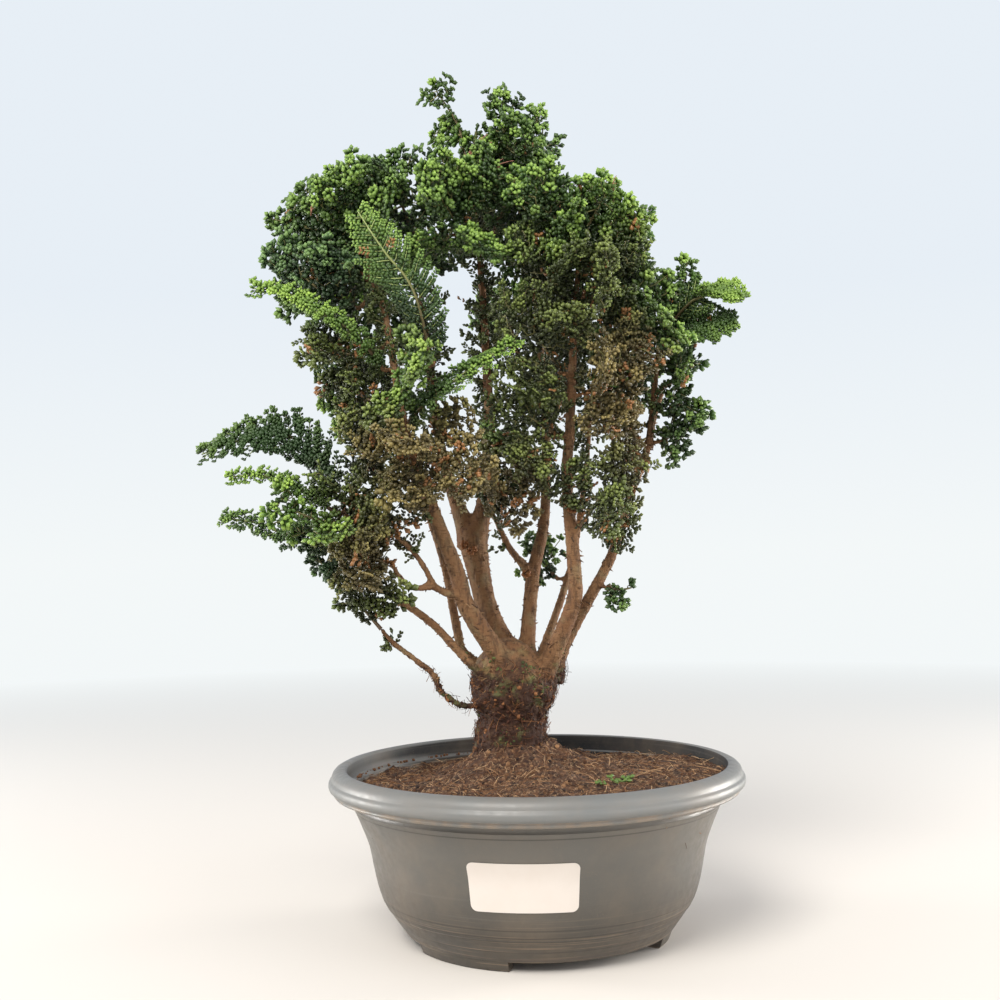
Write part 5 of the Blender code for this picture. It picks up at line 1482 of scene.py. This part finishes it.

# Painted shade: where sprigs above keep the light off, which darkens the leaves' colour, and how
# neighbouring stems' tones run together
middles = np.concatenate([stem.roots + stem.pointing * TUFT_MIDDLE for stem in grown])
tones = []
for stem in grown:
    own = np.concatenate(LEAF_TONES[stem.tone][:2])
    base_tone = FRONDS[stem.name[len("foliage_"):]][5] if stem.growth == "frond" else stem.tone
    base, end = stem.line[0], stem.line[-1]
    share = np.linalg.norm(stem.roots - base, axis=1) / np.linalg.norm(end - base)
    share = np.clip(share, 0.0, 1.0) ** TONE_CHANGE
    if stem.name == "foliage_" + SMALL_CLUMP:
        base_tone = "olive"
        aside = np.min(np.linalg.norm(stem.roots[:, None] - stem.line[None], axis=2), axis=1)
        share = np.clip((SMALL_CLUMP_EDGE - aside) / SMALL_CLUMP_BLEND, 0.0, 1.0)
    old = np.concatenate(LEAF_TONES[base_tone][:2])
    tones.append(old + (own - old) * share[:, None])
tones = np.concatenate(tones)
BATCH = 400
towards_light = LIGHT_FROM / np.linalg.norm(LIGHT_FROM)
shade = np.zeros(len(middles))
blended = np.zeros_like(tones)
for first in range(0, len(middles), BATCH):
    batch = slice(first, first + BATCH)
    apart = middles[None] - middles[batch, None]
    far = np.linalg.norm(apart, axis=2)
    above = np.clip((apart @ towards_light) / np.maximum(far, 1.0), 0.0, 1.0) ** 2
    shade[batch] = np.sum(above * np.clip(1.0 - far / SHADE_REACH, 0.0, 1.0), axis=1)
    weight = np.exp(-(far / TONE_REACH) ** 2)
    blended[batch] = weight @ tones / weight.sum(axis=1, keepdims=True)
# Painted light: less under other sprigs, and scaled by each sprig's own painted light.
painted_light = np.exp(-shade / SHADE_FADE) * np.concatenate([stem.lit for stem in grown])

FROND_SAP = 0.9
BRANCH_SAP = 0.35
RIB_RADIUS = 1.25
RIB_TAPER = 0.85
STALK_RADIUS = 0.30
DRY_AT_ROOT = 0.5
DRY_REACH = 7.0
taken = 0
for stem in grown:
    name, tone, growth, line, draws, roots, pointing, face_up, size, kinds, joints, youth, lit = stem
    count = len(roots)
    here = slice(taken, taken + count)
    taken += count
    points = np.concatenate((line, roots))
    edges = [] if growth == "shoots" else [(k, k + 1) for k in range(len(line) - 1)]
    edges += [(int(joint), len(line) + k) for k, joint in enumerate(joints)]
    mesh = bpy.data.meshes.new(name)
    mesh.from_pydata([tuple(p * MM) for p in points], edges, [])
    run = np.linspace(0.0, 1.0, len(line))
    sap = FROND_SAP if growth == "frond" else BRANCH_SAP
    near_root = np.exp(-np.linalg.norm(roots - line[0], axis=1) / DRY_REACH)
    dry_share = LEAF_TONES[tone][2] + (DRY_AT_ROOT * near_root if tone in ("olive", "brown") else 0.0)
    dry = (draws.random(count) < dry_share).astype(float)
    fresh = np.clip(0.25 + 0.75 * youth + draws.normal(0.0, 0.15, count), 0.0, 1.0)
    look = np.stack((painted_light[here], fresh, dry), axis=1)
    numbers = {"size": (run * 0.0, size), "sap": (run * sap, np.full(count, sap)),
               "thick": (RIB_RADIUS - RIB_TAPER * run, np.full(count, STALK_RADIUS))}
    vectors = {"ahead": pointing, "face_up": face_up, "look": look, "body": blended[here, :3],
               "young": blended[here, 3:]}
    for key, values in numbers.items():
        values = np.concatenate(values).astype(np.float32)
        mesh.attributes.new(key, "FLOAT", "POINT").data.foreach_set("value", values)
    for key, values in vectors.items():
        values = np.concatenate((np.zeros((len(line), 3)), values)).astype(np.float32)
        mesh.attributes.new(key, "FLOAT_VECTOR", "POINT").data.foreach_set("vector", values.ravel())
    values = np.concatenate((np.zeros(len(line)), kinds)).astype(np.int32)
    mesh.attributes.new("kind", "INT", "POINT").data.foreach_set("value", values)
    skeleton = show("skeleton", mesh)
    leafy = grown_by(skeleton, stem_tree, {"Sprigs": SPRIG_KIT, "Finish": leaf_finishes[tone]})
    bpy.data.objects.remove(skeleton, do_unlink=True)
    piece = show(name, leafy)
    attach(piece, "root")
    if growth != "shoots":
        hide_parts(name.replace("foliage_", "spray_"))

# Litter: a green sprig dropped on the soil, dead bare twigs on the crown, tufts that dried on
# the limbs, and dirt left on the pot's step
LITTER_SPRIGS = [
    ((36, -60, 88), (1.0, -0.25, 0.12), 4), ((41, -59, 88), (0.4, 0.8, 0.15), 3),
    ((33, -62, 88), (-1.0, 0.1, 0.1), 5), ((38, -57, 88), (-0.5, 0.9, 0.2), 4)]
DRIED_TUFTS = [(-37, 14, 207), (-33, 13, 203), (-4, 7, 189), (16, -20, 226), (21, -22, 222)]
DEAD_TWIGS = [
    ((-32, -22, 410), (1.0, -0.15, 0.42), 17.0), ((-26, -23, 414), (0.8, -0.2, 0.75), 10.0),
    ((-18, -24, 403), (1.0, -0.1, 0.25), 13.0), ((-22, -23, 399), (0.9, -0.3, -0.1), 9.0),
    ((-113, -20, 381), (0.35, -0.3, 0.9), 9.0), ((46, -30, 388), (0.2, -0.4, 0.9), 8.0),
    ((58, -22, 376), (-0.2, -0.4, 0.9), 6.0)]
TWIG_FORKS = ((0.0, 1.0), (0.55, 0.5), (-0.6, 0.4))
STEP_DIRT_DEG = (196.0, 318.0)
STEP_DIRT_RADII = (95.4, 97.8)
STEP_DIRT_HEIGHT = 81.3
STEP_DIRT_COUNT = 90


def aimed(place, ahead, scale=1.0):
    """The turn and place that put a shape drawn along Y somewhere in the frame."""
    turn = Vector(ahead).to_track_quat("Y", "Z").to_matrix().to_4x4()
    return Matrix.Translation(at(*place)) @ turn @ Matrix.Scale(scale, 4)


def gathered(name, finish, parts):
    """A piece made of shapes, each given as a mesh and where it goes."""
    work = bmesh.new()
    for mesh, matrix in parts:
        copy = mesh.copy()
        copy.transform(matrix)
        work.from_mesh(copy)
        bpy.data.meshes.remove(copy)
    mesh = bpy.data.meshes.new(name)
    work.to_mesh(mesh)
    work.free()
    mesh.materials.append(finish)
    mesh.shade_smooth()
    piece = show(name, mesh)
    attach(piece, "root")
    return piece


dropped_leaf = small_finish("dropped_leaf", (0.10, 0.17, 0.03, 1.0), (0.22, 0.33, 0.06, 1.0),
                            (0.22, 0.33, 0.06, 1.0), 0.5)
dried_leaf = small_finish("dried_leaf", (0.22, 0.085, 0.025, 1.0), (0.42, 0.18, 0.05, 1.0),
                          (0.42, 0.18, 0.05, 1.0), 0.7)
dead_wood = small_finish("dead_wood", (0.30, 0.13, 0.085, 1.0), (0.50, 0.29, 0.20, 1.0),
                         (0.50, 0.29, 0.20, 1.0), 0.7)
gathered("dropped_sprig", dropped_leaf, [
    (bpy.data.objects[f"sprig_{kind}"].data, aimed(place, ahead)) for place, ahead, kind in LITTER_SPRIGS])
gathered("dried_tufts", dried_leaf, [
    (bpy.data.objects[f"sprig_{k % 3}"].data, aimed(place, (0.4, -1.0, -0.5 + 0.3 * k)))
    for k, place in enumerate(DRIED_TUFTS)])
twigs = []
for k, (place, ahead, length) in enumerate(DEAD_TWIGS):
    for turn, share in TWIG_FORKS:
        direction = Vector(ahead) + Vector((0.0, 0.0, turn))
        verts, faces = strand(length * share, 0.85, (0.8, 0.5), sides=4, joints=5)
        moved = [Vector((v[1], v[0] + length * share / 2, v[2])) * MM for v in verts]
        root = Vector(place) + Vector(ahead).normalized() * (length * 0.3 * abs(turn))
        twigs.append((mesh_of("twig", moved, faces), aimed(root, direction)))
gathered("dead_twigs", dead_wood, twigs)
dirt = []
for k in range(STEP_DIRT_COUNT):
    angle = math.radians(chances.uniform(*STEP_DIRT_DEG))
    radius = chances.uniform(*STEP_DIRT_RADII)
    verts, faces = crumb(chances.uniform(0.25, 1.1))
    place = (radius * math.sin(angle), -radius * math.cos(angle), STEP_DIRT_HEIGHT)
    dirt.append((mesh_of("lump", [Vector(v) * MM for v in verts], faces), aimed(place, (0.0, 1.0, 0.0))))
dry_dirt = small_finish("dry_dirt", (0.13, 0.058, 0.026, 1.0), (0.20, 0.10, 0.05, 1.0),
                        (0.20, 0.10, 0.05, 1.0))
gathered("step_dirt", dry_dirt, dirt)

# Floor: a plain pale surface that fades into the backdrop's colour, so no edge shows
BACKDROP = (0.80, 0.86, 0.92)
HORIZON = (0.90, 0.935, 0.94)
FLOOR_COLOUR = (0.68, 0.645, 0.60, 1.0)
FLOOR_RADIUS = 4000.0
FADE_FROM = 250.0
FADE_TO = 1700.0
floor_mesh = bpy.data.meshes.new("floor")
work = bmesh.new()
bmesh.ops.create_circle(work, cap_ends=True, segments=96, radius=FLOOR_RADIUS * MM)
work.to_mesh(floor_mesh)
work.free()
floor = show("floor", floor_mesh)
ground, tree, shader = finish_of("pale_floor", 0.75)
shader.inputs["Base Color"].default_value = FLOOR_COLOUR
away = node_in(tree, "ShaderNodeVectorMath", {0: object_place(tree)}, operation="LENGTH").outputs["Value"]
far_off = ranged(tree, away, FADE_FROM * MM, FADE_TO * MM)
glow = node_in(tree, "ShaderNodeEmission", {"Color": (*HORIZON, 1.0), "Strength": 1.0}).outputs[0]
both = node_in(tree, "ShaderNodeMixShader", {0: far_off, 1: shader.outputs[0], 2: glow}).outputs[0]
tree.links.new(both, tree.nodes["Material Output"].inputs["Surface"])
floor.data.materials.append(ground)

# Light: a bright even room, a large soft light high in front, a weaker one on the right, and
# two low ones behind that edge the pot and the wood
ROOM_LIGHT = (0.90, 0.93, 1.0)
ROOM_STRENGTH = 0.62
world = bpy.data.worlds.new("studio")
bpy.context.scene.world = world
world.use_nodes = True
tree = world.node_tree
room = tree.nodes["Background"]
room.inputs["Color"].default_value = (*ROOM_LIGHT, 1.0)
room.inputs["Strength"].default_value = ROOM_STRENGTH
upwards = node_in(tree, "ShaderNodeSeparateXYZ", {
    0: node_in(tree, "ShaderNodeTexCoord").outputs["Generated"]}).outputs["Z"]
sky = mixed(tree, ranged(tree, upwards, 0.0, 0.20), (*HORIZON, 1.0), (*BACKDROP, 1.0))
seen = node_in(tree, "ShaderNodeBackground", {"Color": sky, "Strength": 1.0}).outputs[0]
looked_at = node_in(tree, "ShaderNodeLightPath").outputs["Is Camera Ray"]
both = node_in(tree, "ShaderNodeMixShader", {0: looked_at, 1: room.outputs[0], 2: seen}).outputs[0]
tree.links.new(both, tree.nodes["World Output"].inputs["Surface"])


def soft_light(name, place, target, width, power, colour):
    """A square light that looks at its target; places are in metres, the power in watts."""
    lamp = bpy.data.lights.new(name, "AREA")
    lamp.shape = "SQUARE"
    lamp.size = width
    lamp.energy = power
    lamp.color = colour
    item = bpy.data.objects.new(name, lamp)
    bpy.context.scene.collection.objects.link(item)
    item.location = place
    item.rotation_euler = (Vector(target) - Vector(place)).to_track_quat("-Z", "Y").to_euler()


soft_light("key", (-0.55, -1.25, 1.45), (0.0, 0.0, 0.22), 0.9, 40.0, (1.0, 0.965, 0.91))
soft_light("fill", (1.3, -0.9, 0.7), (0.0, 0.0, 0.2), 1.0, 9.0, (1.0, 0.98, 0.95))
soft_light("right_edge", (1.20, 0.38, 0.14), (0.05, 0.0, 0.05), 0.4, 18.0, (1.0, 0.96, 0.90))
soft_light("left_edge", (-1.20, 0.30, 0.20), (0.0, 0.0, 0.05), 0.4, 12.0, (1.0, 0.97, 0.93))

# Camera: where the photograph was taken from
CAMERA_LENS = 46.44
CAMERA_SENSOR = 36.0
CAMERA_PITCH_DEG = 92.43
CAMERA_ROLL_DEG = -1.175
camera = bpy.data.objects.new("camera", bpy.data.cameras.new("camera"))
bpy.context.scene.collection.objects.link(camera)
camera.data.lens = CAMERA_LENS
camera.data.sensor_width = CAMERA_SENSOR
camera.matrix_world = (Matrix.Translation(at(*CAMERA_PLACE))
                       @ Matrix.Rotation(math.radians(CAMERA_PITCH_DEG), 4, "X")
                       @ Matrix.Rotation(math.radians(CAMERA_ROLL_DEG), 4, "Z"))
bpy.context.scene.camera = camera
bpy.context.scene.view_settings.view_transform = "Standard"
